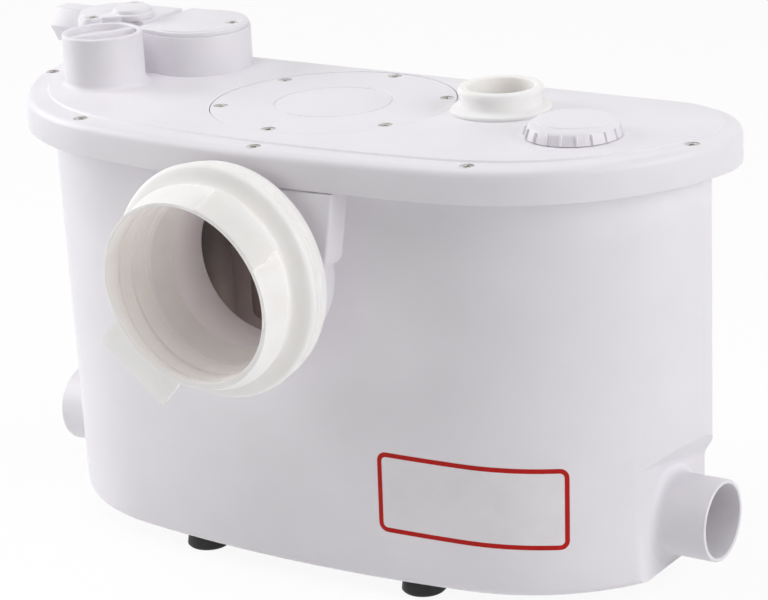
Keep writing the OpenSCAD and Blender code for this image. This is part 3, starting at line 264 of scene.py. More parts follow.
# dim lamps that stand for light the walls let through
for name, (place, watts, tint) in studio["inside"].items():
    obj = addLamp(name, "POINT", place, watts)
    obj.data.shadow_soft_size = studio["insideSize"]
    obj.data.color = tint
    obj.visible_camera = False
print("camera, floor and", len(studio["lamps"]) + len(studio["inside"]), "lamps")


def dress(obj, slot, body="housing", replaced=(), layers=()):
    if obj.data.materials:
        obj.data.materials.clear()
    for look in layers or [slotFinish[slot]]:
        obj.data.materials.append(finishes[look])
    obj.data.shade_smooth()
    obj.data.set_sharp_from_angle(angle=math.radians(smoothBelow))
    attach(obj, body)
    if replaced:
        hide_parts(*replaced)


def makePiece(name, bm, slot, body="housing", replaced=(), layers=()):
    dress(plainObject(name, bm), slot, body, replaced, layers)


def makeTool(bm):  # a throw-away shape that cuts or joins
    bmesh.ops.recalc_face_normals(bm, faces=bm.faces)
    return plainObject("tool", bm)


def carve(obj, tool, how):
    step = obj.modifiers.new("carve", "BOOLEAN")
    step.operation = how
    step.solver = "EXACT"
    step.object = tool
    bpy.context.view_layer.update()
    ready = obj.evaluated_get(bpy.context.evaluated_depsgraph_get())
    mesh = bpy.data.meshes.new_from_object(ready)
    obj.modifiers.clear()
    old, obj.data = obj.data, mesh
    bpy.data.meshes.remove(old)
    bpy.data.objects.remove(tool)


def roundOff(bm, geom, width, steps, kind="EDGES"):
    return bmesh.ops.bevel(bm, geom=geom, offset=width, offset_type="OFFSET", segments=steps,
                           profile=0.5, affect=kind, material=-1, clamp_overlap=True)


def onlyKind(geom, kind):
    return [one for one in geom if isinstance(one, kind)]


def pushFace(bm, face, way):
    grown = bmesh.ops.extrude_face_region(bm, geom=[face])["geom"]
    bmesh.ops.translate(bm, verts=onlyKind(grown, bmesh.types.BMVert), vec=way)


def cutPlane(bm, place, normal, reach, clear):
    return bmesh.ops.bisect_plane(
        bm, geom=bm.verts[:] + bm.edges[:] + bm.faces[:], dist=reach, plane_co=place,
        plane_no=normal, clear_outer=clear)["geom_cut"]


def moveTo(x, y, z=0):  # millimetres
    return Matrix.Translation((x * mm, y * mm, z * mm))


def turnAbout(axis, degrees):
    return Matrix.Rotation(math.radians(degrees), 4, axis)


def turnProfile(corners, steps, place=unmoved):
    # corners are [radius, height, rounding] in mm; the closed outline is spun about Z
    bm = bmesh.new()
    ring = [bm.verts.new((r * mm, 0, z * mm)) for r, z, _ in corners]
    bm.faces.new(ring)
    for size in sorted({c[2] for c in corners if c[2] > 0}):
        picked = [v for v, c in zip(ring, corners) if c[2] == size]
        roundOff(bm, picked, size * mm, 4, "VERTICES")
    face = max(bm.faces, key=lambda f: f.calc_area())
    edges = [e for e in face.edges if any(abs(v.co.x) > weld for v in e.verts)]
    axis = [e for e in face.edges if e not in edges]
    bmesh.ops.delete(bm, geom=[face], context="FACES_ONLY")
    bmesh.ops.delete(bm, geom=axis, context="EDGES")
    bmesh.ops.spin(bm, geom=edges, cent=(0, 0, 0), axis=(0, 0, 1), angle=math.tau, steps=steps,
                   use_merge=True)
    bmesh.ops.remove_doubles(bm, verts=bm.verts, dist=weld)
    bmesh.ops.recalc_face_normals(bm, faces=bm.faces)
    bmesh.ops.transform(bm, matrix=place, verts=bm.verts)
    return bm


def flaredFoot(radius, flare, steps=6):
    angles = [quarter * k / steps for k in range(steps + 1)]
    return [[radius + flare - flare * math.sin(a), flare - flare * math.cos(a), 0]
            for a in angles]


def addRod(bm, radius, low, high, place, sides):
    bmesh.ops.create_cone(
        bm, cap_ends=True, segments=sides, radius1=radius * mm, radius2=radius * mm,
        depth=(high - low) * mm, matrix=place @ moveTo(0, 0, (low + high) / 2))


def addBlock(bm, low, high, rounding, place):
    made = bmesh.ops.create_cube(bm, size=1.0)["verts"]
    size = [(h - l) * mm for l, h in zip(low, high)]
    middle = [(h + l) / 2 * mm for l, h in zip(low, high)]
    stretch = Matrix.Translation(middle) @ Matrix.Diagonal((*size, 1))
    bmesh.ops.transform(bm, matrix=stretch, verts=made)
    if rounding:
        edges = list({e for v in made for e in v.link_edges})
        grown = roundOff(bm, edges, rounding * mm, 3)
        made = list(set(grown["verts"]) | {v for v in made if v.is_valid})
    bmesh.ops.transform(bm, matrix=place, verts=made)


# The plan that tank and lid share: a bowed front, two wide ends, rounded back corners
plan = {"half": 186, "front": 88, "back": 50, "endRadius": 104, "endBack": 22, "backRadius": 38,
        "bowSteps": 16, "endSteps": 44, "cornerSteps": 18}
endX = plan["half"] - plan["endRadius"]
bowDeep = plan["front"] + plan["endBack"]
bowRadius = ((endX ** 2 + bowDeep ** 2 - plan["endRadius"] ** 2)
             / (2 * (bowDeep - plan["endRadius"])))
bowTurn = math.asin(endX / (bowRadius - plan["endRadius"]))


def addOutline(bm, z, out, back, corner=0):
    before = set(bm.edges)
    endR = plan["endRadius"] + out
    cornerR = plan["backRadius"] + (out + back) / 2 + corner
    backY = plan["back"] + back
    lean = math.asin((backY - cornerR - plan["endBack"]) / endR)
    sideX = endX + endR * math.cos(lean)

    def arc(start, centre, angle, steps):
        spun = bmesh.ops.spin(bm, geom=[start], cent=(centre[0] * mm, centre[1] * mm, z * mm),
                              axis=(0, 0, 1), angle=angle, steps=steps)
        return onlyKind(spun["geom_last"], bmesh.types.BMVert)[0]

    def straight(start, x, y):
        vert = bmesh.ops.extrude_vert_indiv(bm, verts=[start])["verts"][0]
        vert.co = (x * mm, y * mm, z * mm)
        return vert

    tip = bm.verts.new((0, (-plan["front"] - out) * mm, z * mm))
    tip = arc(tip, (0, bowRadius - plan["front"]), bowTurn, plan["bowSteps"])
    tip = arc(tip, (endX, plan["endBack"]), lean + quarter - bowTurn, plan["endSteps"])
    tip = straight(tip, sideX, backY - cornerR)
    tip = arc(tip, (sideX - cornerR, backY - cornerR), quarter, plan["cornerSteps"])
    straight(tip, 0, backY)
    half = [e for e in bm.edges if e not in before]
    verts = list({v for e in half for v in e.verts})
    bmesh.ops.mirror(bm, geom=verts + half, matrix=unmoved, merge_dist=near, axis="X")
    return [e for e in bm.edges if e not in before]


def loft(rings):  # each ring is height, set-out at front and ends, set-out at the back, corner
    bm = bmesh.new()
    loops = [addOutline(bm, *ring) for ring in rings]
    for low, high in zip(loops, loops[1:]):
        bmesh.ops.bridge_loops(bm, edges=low + high)
    for loop in (loops[0], loops[-1]):
        bmesh.ops.contextual_create(bm, geom=loop)
    bmesh.ops.recalc_face_normals(bm, faces=bm.faces)
    return bm


# Tank
tank = {"low": 8.5, "floor": 12.5, "edge": 5, "edgeSteps": 6, "levels": (60, 110, 160, 190),
        "flange": 210, "top": 216, "inset": 1.2, "insetBack": 5.5, "draft": 2.2, "corner": 6,
        "wall": 3.5, "flangeOut": 9.1, "flangeBack": 0.1, "footAt": 14, "footEdge": 1.5,
        "openOver": 0.5}


def wallOut(z):  # how far the wall stands out of the plan, at the ends and the back
    rise = (tank["flange"] - z) / (tank["flange"] - tank["low"] - tank["edge"])
    return -tank["inset"] - tank["draft"] * rise, -tank["insetBack"] - tank["draft"] * rise


def hollowRing(z, wallAt, edge=0):
    return (z, *[v - tank["wall"] - edge for v in wallOut(wallAt)], tank["corner"])


edge = tank["edge"]
footOut, footBack = wallOut(tank["low"] + edge)
rings = []
for step in range(tank["edgeSteps"] + 1):
    angle = quarter * step / tank["edgeSteps"]
    drop = edge * (1 - math.sin(angle))
    rings.append((tank["low"] + edge - edge * math.cos(angle), footOut - drop, footBack - drop,
                  tank["corner"]))
for z in (*tank["levels"], tank["flange"]):
    rings.append((z, *wallOut(z), tank["corner"]))
rings += [(z, tank["flangeOut"], tank["flangeBack"]) for z in (tank["flange"], tank["top"])]
tankShell = plainObject("tankShell", loft(rings))

# slantShift and tipShift: how far the slant's two ends move for each millimetre inward
undercut = {"half": 166, "height": 51.5, "slope": 10, "fillet": 3, "reach": 80, "long": 240,
            "slantShift": 1.414, "tipShift": 0.414}


def undercutTool(inward):
    bm = bmesh.new()
    inX, outX = undercut["half"] - inward, undercut["half"] + undercut["reach"]
    tipY, rootY = inward * undercut["tipShift"], -2 * undercut["height"]
    slantY = undercut["reach"] + inward * undercut["slantShift"]
    long = undercut["long"] * mm
    for side in (-1, 1):
        before = set(bm.verts)
        corners = [(inX, rootY), (outX, rootY), (outX, slantY), (inX, tipY)]
        ring = [bm.verts.new((side * x * mm, y * mm, -long / 2)) for x, y in corners]
        pushFace(bm, bm.faces.new(ring), (0, 0, long))
        made = [v for v in bm.verts if v not in before]
        tips = {e for v in made for e in v.link_edges
                if all(abs(abs(w.co.x) - inX * mm) < near and abs(w.co.y - tipY * mm) < near
                       for w in e.verts)}
        roundOff(bm, list(tips), undercut["fillet"] * mm, 5)
    place = moveTo(0, 0, tank["low"] + undercut["height"])
    bmesh.ops.transform(bm, matrix=place @ turnAbout("X", 90 - undercut["slope"]),
                        verts=bm.verts)
    return makeTool(bm)


carve(tankShell, undercutTool(0), "DIFFERENCE")

# Inlet: a pad that leans in on its right, a round boss, and the stub that carries the sleeve
inlet = {"x": -9, "z": 163, "deep": 16, "padLeft": 43, "padRight": 55, "padLow": 4,
         "padTop": 42.6, "padFace": 98.8, "padCorner": 7, "padLean": 6, "padRound": 1.2,
         "boss": 45, "bossFace": -0.2, "bossRound": 1.0, "bossUnder": 0.5,
         "hole": 40.1, "holeY": 90, "holeHalf": 40,
         "stub": 42, "stubBore": 38, "stubEnd": 112.8, "stubDeep": 36, "stubStep": 14.2,
         "stubNeck": 40, "stubLip": 41.7, "stubFlare": 11.6}


def onInlet(y):  # the inlet's own axes: Z runs out of the front
    return moveTo(inlet["x"], -y, inlet["z"]) @ turnAbout("X", 90)


bm = bmesh.new()
addBlock(bm, (-inlet["padLeft"], inlet["padLow"], -inlet["deep"]),
         (inlet["padRight"], inlet["padTop"], 0), 0, unmoved)
lowY = inlet["padLow"] * mm
for v in bm.verts:
    if v.co.x > 0 and abs(v.co.y - lowY) < near:
        v.co.x -= inlet["padLean"] * mm
lower = [e for e in bm.edges if all(abs(v.co.y - lowY) < near for v in e.verts)
         and abs(e.verts[0].co.x - e.verts[1].co.x) < near]
roundOff(bm, lower, inlet["padCorner"] * mm, 8)
front = [e for e in bm.edges if all(abs(v.co.z) < near for v in e.verts)]
roundOff(bm, front, inlet["padRound"] * mm, 3)
bmesh.ops.transform(bm, matrix=onInlet(inlet["padFace"]), verts=bm.verts)
carve(tankShell, makeTool(bm), "UNION")
bm = turnProfile([[0, -inlet["deep"], 0], [inlet["boss"], -inlet["deep"], 0],
                  [inlet["boss"], inlet["bossFace"], inlet["bossRound"]],
                  [0, inlet["bossFace"], 0]], 96)
bossTop = (inlet["padTop"] - inlet["bossUnder"]) * mm
cut = cutPlane(bm, (0, bossTop, 0), (0, 1, 0), weld, True)
bmesh.ops.contextual_create(bm, geom=onlyKind(cut, bmesh.types.BMEdge))
bmesh.ops.transform(bm, matrix=onInlet(inlet["padFace"]), verts=bm.verts)
carve(tankShell, makeTool(bm), "UNION")

hollow = makeTool(loft([
    hollowRing(tank["floor"], tank["footAt"], tank["footEdge"]),
    hollowRing(tank["floor"] + tank["footEdge"], tank["footAt"]),
    hollowRing(tank["top"] + tank["openOver"], tank["top"])]))
carve(hollow, undercutTool(tank["wall"]), "DIFFERENCE")
carve(tankShell, hollow, "DIFFERENCE")

spigot = {"radius": 20, "bore": 18, "long": 27.5, "flare": 5, "z": 35, "root": 1.5, "lip": 0.7,
          "holeHalf": 12}


def onSide(side):  # the spigot's own axes: Z runs out of the tank's end
    return moveTo(side * undercut["half"], 0, spigot["z"]) @ turnAbout("Y", side * 90)


bm = bmesh.new()
addRod(bm, inlet["hole"], -inlet["holeHalf"], inlet["holeHalf"], onInlet(inlet["holeY"]), 96)
for side in (-1, 1):
    addRod(bm, spigot["bore"], -spigot["holeHalf"], spigot["holeHalf"], onSide(side), 64)
carve(tankShell, makeTool(bm), "DIFFERENCE")
dress(tankShell, "white_plastic", "housing", ("tank",))
print("tank shell:", len(tankShell.data.polygons), "faces")

bm = turnProfile([
    [inlet["stubBore"], -inlet["stubDeep"], 0.5], [inlet["stubNeck"], -inlet["stubDeep"], 0.5],
    [inlet["stubNeck"], -inlet["stubStep"], 0], [inlet["stub"], -inlet["stubStep"], 0],
    [inlet["stub"], 0, 0], [inlet["stubLip"], 0, 0],
    [inlet["stubBore"], -inlet["stubFlare"], 0]], 96, onInlet(inlet["stubEnd"]))
makePiece("inletStub", bm, "white_plastic", "housing", ("inlet_stub",))

for side, name, node in ((-1, "leftSpigot", "left_spigot"), (1, "rightSpigot", "right_spigot")):
    bm = turnProfile([
        [spigot["bore"], -spigot["root"], 0],
        [spigot["radius"] + spigot["flare"], -spigot["root"], 0],
        *flaredFoot(spigot["radius"], spigot["flare"]),
        [spigot["radius"], spigot["long"], spigot["lip"]],
        [spigot["bore"], spigot["long"], spigot["lip"]]], 72, onSide(side))
    makePiece(name, bm, "white_plastic", "housing", (node,))
print("inlet stub and two spigots")

# Lid: hem gives rise and set-in of the skirt's lower edge, step the way up from rim to platform
lid = {"skirt": 206, "seat": 218, "rim": 222.8, "top": 224, "over": 12, "overBack": 3,
       "shoulder": 4.5, "shoulderSteps": 8, "backShare": 3, "skirtWall": 2.5, "plate": 220.5,
       "inside": 6.7, "insideBack": 11, "screwHead": 3.6, "screwSeat": 220.6, "screwOut": 5.5,
       "screwTurns": (18, 75), "cutLow": 210, "cutHigh": 230,
       "hem": ((0, 0.5, 0.4), (0.15, 0.15, 0.1), (0.5, 0, 0)),
       "step": (("rim", 0, 1.1, 0.5), ("rim", 0.08, 0.85, 0.35), ("rim", 0.25, 0.7, 0.3),
                ("top", -0.3, 0.45, 0.2), ("top", -0.08, 0.25, 0.1), ("top", 0, -0.15, -0.1))}
rings = [(lid["skirt"] + rise, lid["over"] - less, lid["overBack"] - lessBack)
         for rise, less, lessBack in lid["hem"]]
bend = lid["shoulder"]
for step in range(lid["shoulderSteps"] + 1):
    angle = quarter * step / lid["shoulderSteps"]
    rings.append((lid["rim"] - bend + bend * math.sin(angle),
                  lid["over"] - bend + bend * math.cos(angle),
                  lid["overBack"] - (bend - bend * math.cos(angle)) / lid["backShare"]))
rings += [(lid[level] + rise, out, outBack) for level, rise, out, outBack in lid["step"]]
lidShell = plainObject("lidShell", loft(rings))
skirtIn = (lid["over"] - lid["skirtWall"], lid["overBack"] - lid["skirtWall"])
bm = loft([(lid["skirt"] - 1, *skirtIn), (lid["seat"], *skirtIn)])
carve(lidShell, makeTool(bm), "DIFFERENCE")

cover = {"x": -9, "y": -13, "radius": 60.5, "seat": 60.9, "low": 220.5, "hole": 49.5,
         "ledge": 64.5, "groove": 29, "grooveHalf": 0.5, "grooveDeep": 0.6, "screws": 6,
         "screwRing": 55.5, "screwSeat": 221.9, "screwTurn": 30}
onCover = moveTo(cover["x"], cover["y"])
under = (-lid["inside"], -lid["insideBack"], tank["corner"])
inside = makeTool(loft([(lid["seat"] - 0.5, *under), (lid["plate"], *under)]))
bm = bmesh.new()
addRod(bm, cover["ledge"], lid["cutLow"], lid["top"] + 1, onCover, 96)
carve(inside, makeTool(bm), "DIFFERENCE")
carve(lidShell, inside, "DIFFERENCE")

away = plan["endRadius"] + lid["screwOut"]
rimScrews = [(0, -plan["front"] - lid["screwOut"])] + [
    (side * (endX + away * math.cos(math.radians(t))),
     plan["endBack"] - away * math.sin(math.radians(t)))
    for side in (-1, 1) for t in lid["screwTurns"]]
vent = {"x": -141.5, "y": -24, "radius": 20.5, "bore": 17.9, "tall": 26.5, "floor": 4, "hole": 7,
        "flare": 3}
cap = {"x": 131, "y": -23, "radius": 23.7, "tall": 9.2, "bore": 18.8, "ceiling": 6.0, "low": 0.3,
       "ribs": 19, "ribLow": 0.7, "ribTop": 5.4, "ribHalf": 0.5, "ribDeep": 2.4, "ribRound": 0.4,
       "lean": 0.32, "leanFrom": 1.5, "spout": 18.5, "spoutBore": 15, "spoutTall": 4.5}
topSleeve = {"x": 76, "y": 4.5, "bore": 16.2, "tall": 12.6, "flange": 24.2, "neck": 19.2,
             "neckGap": 0.2}
riser = {"x": -151, "y": 27, "hole": 8.7}
bm = bmesh.new()
addRod(bm, cover["seat"], cover["low"], lid["cutHigh"], onCover, 128)
carve(lidShell, makeTool(bm), "DIFFERENCE")
bm = bmesh.new()
addRod(bm, cover["hole"], lid["cutLow"], lid["cutHigh"], onCover, 96)
for x, y in rimScrews:
    addRod(bm, lid["screwHead"], lid["screwSeat"], lid["cutHigh"], moveTo(x, y), 32)
for piece, hole in ((vent, vent["hole"]), (cap, cap["spoutBore"]),
                    (topSleeve, topSleeve["neck"] + topSleeve["neckGap"]),
                    (riser, riser["hole"])):
    addRod(bm, hole, lid["cutLow"], lid["cutHigh"], moveTo(piece["x"], piece["y"]), 64)
carve(lidShell, makeTool(bm), "DIFFERENCE")
dress(lidShell, "white_plastic", "housing", ("lid",))
print("lid shell:", len(lidShell.data.polygons), "faces")


def onLid(piece):
    return moveTo(piece["x"], piece["y"], lid["top"])


bm = turnProfile([
    [cap["spoutBore"], -1, 0], [cap["spout"], -1, 0], [cap["spout"], cap["spoutTall"], 0.4],
    [cap["spoutBore"], cap["spoutTall"], 0.4]], 64, onLid(cap))
makePiece("capSpout", bm, "white_plastic")

# Access cover: the disc with its scribed ring, screws sunk in its edge
groove, grooveHalf = cover["groove"], cover["grooveHalf"]
grooveLow = lid["top"] - cover["grooveDeep"]
bm = turnProfile([
    [0, cover["low"], 0], [cover["radius"], cover["low"], 0.3],
    [cover["radius"], lid["top"], 0.5], [groove + grooveHalf + 0.1, lid["top"], 0.2],
    [groove + grooveHalf, grooveLow, 0.1], [groove - grooveHalf, grooveLow, 0.1],
    [groove - grooveHalf - 0.1, lid["top"], 0.2], [0, lid["top"], 0]], 128, onCover)
coverDisc = plainObject("coverDisc", bm)
bm = bmesh.new()
for i in range(cover["screws"]):
    spot = onCover @ turnAbout("Z", cover["screwTurn"] + 360 * i / cover["screws"])
    addRod(bm, lid["screwHead"], cover["screwSeat"], lid["cutHigh"],
           spot @ moveTo(cover["screwRing"], 0), 32)
carve(coverDisc, makeTool(bm), "DIFFERENCE")
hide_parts("access_cover")
dress(coverDisc, "white_plastic")
print("access cover")

# Toilet sleeve: a rubber collar, a groove, and a mouth cut on the slant with two pull tabs.
# The outline runs round the ribbed collar to the mouth, and back along the ringed bore.
sleeve = {
    "y": 104.5, "mouthY": 143.4, "tilt": 6, "tabHole": 44.6, "tabHoleHalf": 60, "rim": 0.45,
    "cutHalf": 90, "cutHigh": 40,
    "collar": [
        [42.2, 0, 0.5], [54.4, 0, 2.5], [56.1, 7.5, 0.8], [55, 8.1, 0.3], [55, 8.9, 0.3],
        [56.4, 9.5, 0.5], [56.4, 10.5, 0.5], [55.2, 11.1, 0.3], [55.2, 11.9, 0.3],
        [56.7, 12.5, 0.5], [57, 14.5, 0.6], [56.2, 16.2, 1]],
    "groove": [
        [54, 17.3, 1.2], [47.6, 19.6, 1.2], [46.6, 20.8, 0.6], [46.6, 23.4, 0.5]],
    "mouth": [
        [48.8, 24.2, 0.6], [49.8, 25.7, 0.9], [47.4, 32.5, 2], [45.9, 38.5, 2], [45.2, 50.9, 0]],
    "bore": [
        [44.1, 50.9, 0], [44.1, 30.4, 0.2], [45, 30, 0.2], [45, 29.2, 0.2], [43.8, 28.8, 0.3],
        [43.8, 21.4, 0.2], [44.6, 21, 0.2], [44.6, 20.2, 0.2], [43.2, 19.8, 0.3],
        [43.2, 11.4, 0.2], [42.5, 10.8, 0.2], [42.5, 9.8, 0.2]],
    "funnel": [
        [41.3, 9.0, 0.3], [39.2, 2.6, 0.3], [37.3, -3, 0.2], [37.9, -3, 0.1], [40.1, 2.6, 0],
        [41.9, 8.4, 0], [42.2, 8.4, 0]],
    "tab": {"turn": 228.5, "inner": 22, "half": 22, "reach": 65, "back": -9, "end": -6,
            "root": -4.6, "rootAt": 45.4, "round": 0.7},
    "ear": {"turn": 48.5, "inner": 44.8, "reach": 53.5, "half": 19.6, "back": -13.2,
            "edge": 1.6, "edgeLean": 0.3, "lip": 46, "over": 0.6,
            "blockLow": (20, -30), "blockHigh": (70, 10)}}
outline = [corner for run in ("collar", "groove", "mouth", "bore", "funnel")
           for corner in sleeve[run]]
toiletSleeve = plainObject("toiletSleeve", turnProfile(outline, 128, onInlet(sleeve["y"])))
mouth = onInlet(sleeve["mouthY"]) @ turnAbout("X", sleeve["tilt"])

tab = sleeve["tab"]  # the low one is a straight plate that thins out towards its end
side = [(tab["inner"], tab["back"]), (tab["reach"], tab["back"]), (tab["reach"], tab["end"]),
        (tab["rootAt"], tab["root"]), (tab["inner"], tab["root"])]
bm = bmesh.new()
face = bm.faces.new([bm.verts.new((r * mm, -tab["half"] * mm, z * mm)) for r, z in side])
pushFace(bm, face, (0, 2 * tab["half"] * mm, 0))
ends = [e for e in bm.edges if all(abs(v.co.x - tab["reach"] * mm) < weld for v in e.verts)]
roundOff(bm, ends, tab["round"] * mm, 3)
bmesh.ops.transform(bm, matrix=mouth @ turnAbout("Z", tab["turn"]), verts=bm.verts)
tabPlate = makeTool(bm)

ear = sleeve["ear"]  # the high one is a stretch of a flared ring
ring = makeTool(turnProfile([
    [ear["inner"], ear["back"], 0], [ear["reach"], ear["back"], 0.6],
    [ear["reach"] - ear["edgeLean"], ear["back"] + ear["edge"], 0.5],
    [ear["lip"], ear["over"], 0], [ear["inner"], ear["over"], 0]], 128, mouth))
bm = bmesh.new()
(nearX, lowZ), (farX, highZ) = ear["blockLow"], ear["blockHigh"]
addBlock(bm, (nearX, -ear["half"], lowZ), (farX, ear["half"], highZ), 0,
         mouth @ turnAbout("Z", ear["turn"]))
carve(ring, makeTool(bm), "INTERSECT")
carve(toiletSleeve, ring, "UNION")
bm = bmesh.new()
addRod(bm, sleeve["tabHole"], -sleeve["tabHoleHalf"], sleeve["tabHoleHalf"],
       onInlet(sleeve["mouthY"]), 128)
carve(tabPlate, makeTool(bm), "DIFFERENCE")
carve(toiletSleeve, tabPlate, "UNION")
bm = bmesh.new()
addBlock(bm, (-sleeve["cutHalf"], -sleeve["cutHalf"], 0),
         (sleeve["cutHalf"], sleeve["cutHalf"], sleeve["cutHigh"]), 0, mouth)
carve(toiletSleeve, makeTool(bm), "DIFFERENCE")

bm = bmesh.new()
bm.from_mesh(toiletSleeve.data)
facing = mouth.to_3x3() @ Vector((0, 0, 1))
cutFaces = {f for f in bm.faces if f.normal.dot(facing) > 0.999
            and abs((f.calc_center_median() - mouth.translation).dot(facing)) < 10 * near}
rim = [e for e in bm.edges if sum(f in cutFaces for f in e.link_faces) == 1]
roundOff(bm, rim, sleeve["rim"] * mm, 3)
bm.to_mesh(toiletSleeve.data)
bm.free()
dress(toiletSleeve, "soft_rubber", "housing", ("toilet_sleeve",))
print("toilet sleeve:", len(toiletSleeve.data.polygons), "faces")

# Top sleeve: a bead under the lid, a flange on it, and a rolled rim
bore, tall = topSleeve["bore"], topSleeve["tall"]
neck, flange = topSleeve["neck"], topSleeve["flange"]
bm = turnProfile([
    [bore, -7.5, 0.4], [bore + 4.2, -7.5, 0.5], [bore + 4.8, -6, 0.4], [bore + 4.8, -3.5, 0.3],
    [neck, -3.5, 0.2], [neck, 0, 0], [flange, 0, 0.2], [flange, 2.2, 1.0],
    [bore + 4.6, 2.8, 0.9], [bore + 3.7, 3.8, 0.6], [bore + 3.5, tall - 4.6, 0.6],
    [bore + 4.4, tall - 3.4, 0.7], [bore + 4.5, tall - 0.6, 1.4], [bore + 2.2, tall, 1.0],
    [bore, tall - 0.6, 0.8]], 96, onLid(topSleeve))
makePiece("topSleeve", bm, "soft_rubber", "housing", ("top_sleeve",))

# Screw cap: a low dome with finger ribs
radius = cap["radius"]
bm = turnProfile([
    [cap["bore"], cap["low"], 0.2], [radius - 0.9, cap["low"], 0.3], [radius - 1.2, 5.6, 0.8],
    [radius - 2.6, 7.1, 1.2], [radius - 9, 8.7, 3], [0, cap["tall"], 0], [0, cap["ceiling"], 0],
    [cap["bore"], cap["ceiling"], 0.3]], 96)
for i in range(cap["ribs"]):
    addBlock(bm, (radius - cap["ribDeep"], -cap["ribHalf"], cap["ribLow"]),
             (radius, cap["ribHalf"], cap["ribTop"]), cap["ribRound"],
             turnAbout("Z", 360 * i / cap["ribs"]))
for v in bm.verts:  # the side leans in, more so near the top
    wide = math.hypot(v.co.x, v.co.y)
    lean = cap["lean"] * max(0.0, v.co.z - cap["leanFrom"] * mm)
    if wide > (cap["bore"] + 1) * mm:
        v.co.x *= 1 - lean / wide
        v.co.y *= 1 - lean / wide
bmesh.ops.transform(bm, matrix=onLid(cap), verts=bm.verts)
makePiece("screwCap", bm, "white_plastic", "screw_cap", ("screw_cap",))

# Vent tube with a flared foot, and its plug with a grip bar
bm = turnProfile([
    [vent["hole"], 0, 0], *flaredFoot(vent["radius"], vent["flare"]),
    [vent["radius"], vent["tall"], 0.8], [vent["bore"], vent["tall"], 0.6],
    [vent["bore"], vent["floor"], 0.5], [vent["hole"], vent["floor"], 0.2]], 96, onLid(vent))
makePiece("ventTube", bm, "white_plastic", "housing", ("vent_tube",))
ventPlug = {"radius": 17.6, "low": 14.1, "top": 23.1, "edge": 0.5, "bar": 3.2, "barHalf": 17.0,
            "barRoot": 1, "barTop": 26.1, "barRound": 0.6, "turn": 62}
bm = turnProfile([
    [0, ventPlug["low"], 0], [ventPlug["radius"], ventPlug["low"], ventPlug["edge"]],
    [ventPlug["radius"], ventPlug["top"], ventPlug["edge"]], [0, ventPlug["top"], 0]], 96)
addBlock(bm, (-ventPlug["barHalf"], -ventPlug["bar"] / 2, ventPlug["top"] - ventPlug["barRoot"]),
         (ventPlug["barHalf"], ventPlug["bar"] / 2, ventPlug["barTop"]), ventPlug["barRound"],
         turnAbout("Z", ventPlug["turn"]))
bmesh.ops.transform(bm, matrix=onLid(vent), verts=bm.verts)
makePiece("ventPlug", bm, "white_plastic", "vent_plug", ("vent_plug",))
print("sleeve, cap, vent tube and plug")

# Copies of the solids with rounded edges
soft = {"weld": 2e-6, "flatBelow": 0.6, "cornerFrom": 40, "steps": 2}
box = {"left": -139.9, "middle": 26, "screw": (-98.3, 28.8), "screwRoom": 5,
       "slim": (0.972, 0.955)}


def setIn(co):  # the cover stands a little inside the rim of its box
    screwX, screwY = box["screw"]
    if math.hypot(co.x / mm - screwX, co.y / mm - screwY) > box["screwRoom"]:
        co.x = box["left"] * mm + (co.x - box["left"] * mm) * box["slim"][0]
        co.y = box["middle"] * mm + (co.y - box["middle"] * mm) * box["slim"][1]


def softCopy(name, node, width, shape=None):
    bm = bmesh.new()
    bm.from_mesh(frame["nodes"][node].data)
    for v in bm.verts if shape else ():
        shape(v.co)
    bmesh.ops.remove_doubles(bm, verts=bm.verts, dist=soft["weld"])
    bmesh.ops.dissolve_limit(
        bm, angle_limit=math.radians(soft["flatBelow"]), use_dissolve_boundaries=False,
        verts=bm.verts, edges=bm.edges, delimit=set())
    corner = math.radians(soft["cornerFrom"])
    edges = [e for e in bm.edges if len(e.link_faces) == 2 and e.calc_face_angle(0) > corner]
    roundOff(bm, edges, width * mm, soft["steps"])
    makePiece(name, bm, slotOf[node], "housing", (node,))


softCopy("boxCover", "box_cover", 0.5, setIn)
for name, node, width in (
        ("valveHousing", "valve_housing", 0.8), ("valvePlate", "valve_plate", 0.5),
        ("outletNipple", "outlet_nipple", 0.5), ("controlBox", "control_box", 0.5),
        ("rubberFeet", "feet_set", 0.3)):
    softCopy(name, node, width)
print("rounded copies")

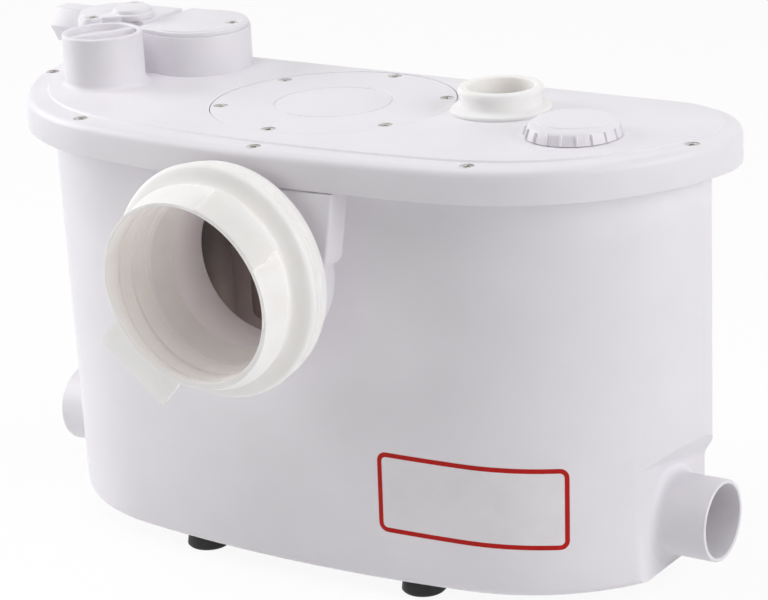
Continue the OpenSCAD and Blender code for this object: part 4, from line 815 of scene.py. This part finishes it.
# Sticker on the right of the front: a bare plate with a red border, laid round the wall
sticker = {"middle": (101.5, 54.6), "size": (97.7, 41.6), "turn": -1.3, "corner": 5,
           "margin": 0.3, "border": 2.4, "lift": 0.12, "thick": 0.1, "strips": 40,
           "stripsOver": 1.05}
bowLong = bowRadius * bowTurn


def onWall(u, z, lift):  # u runs along the plan from the middle of the front
    if u < bowLong:
        angle, radius = u / bowRadius, bowRadius
        centreX, centreY = 0, bowRadius - plan["front"]
    else:
        angle, radius = bowTurn + (u - bowLong) / plan["endRadius"], plan["endRadius"]
        centreX, centreY = endX, plan["endBack"]
    radius += wallOut(z)[0] + lift
    return Vector(((centreX + radius * math.sin(angle)) * mm,
                   (centreY - radius * math.cos(angle)) * mm, z * mm))


def insetFaces(bm, faces, width):
    return bmesh.ops.inset_region(bm, faces=faces, thickness=width, use_boundary=True,
                                  use_even_offset=True)["faces"]


bm = bmesh.new()
wide, tall = sticker["size"]
lean = turnAbout("Y", -sticker["turn"])
middle = Vector((sticker["middle"][0], 0, sticker["middle"][1]))
corners = [bm.verts.new(middle + lean @ Vector((u * wide / 2, 0, z * tall / 2)))
           for u, z in ((-1, -1), (1, -1), (1, 1), (-1, 1))]
bm.faces.new(corners)
roundOff(bm, corners, sticker["corner"], 6, "VERTICES")
insetFaces(bm, bm.faces[:], sticker["margin"])
inner = max(bm.faces, key=lambda f: f.calc_area())
for f in insetFaces(bm, [inner], sticker["border"]):
    f.material_index = 1
for k in range(1, sticker["strips"]):
    u = middle.x + wide * sticker["stripsOver"] * (k / sticker["strips"] - 0.5)
    cutPlane(bm, (u, 0, 0), (1, 0, 0), 10 * near, False)
for v in bm.verts:
    v.co = onWall(v.co.x, v.co.z, sticker["lift"])
bmesh.ops.recalc_face_normals(bm, faces=bm.faces)
if sum(f.normal.y * f.calc_area() for f in bm.faces) > 0:
    bmesh.ops.reverse_faces(bm, faces=bm.faces)
bmesh.ops.solidify(bm, geom=bm.faces[:], thickness=sticker["thick"] * mm)
bmesh.ops.recalc_face_normals(bm, faces=bm.faces)
makePiece("frontSticker", bm, "white_plastic", "housing", (), ("stickerPaper", "stickerRed"))
print("sticker")
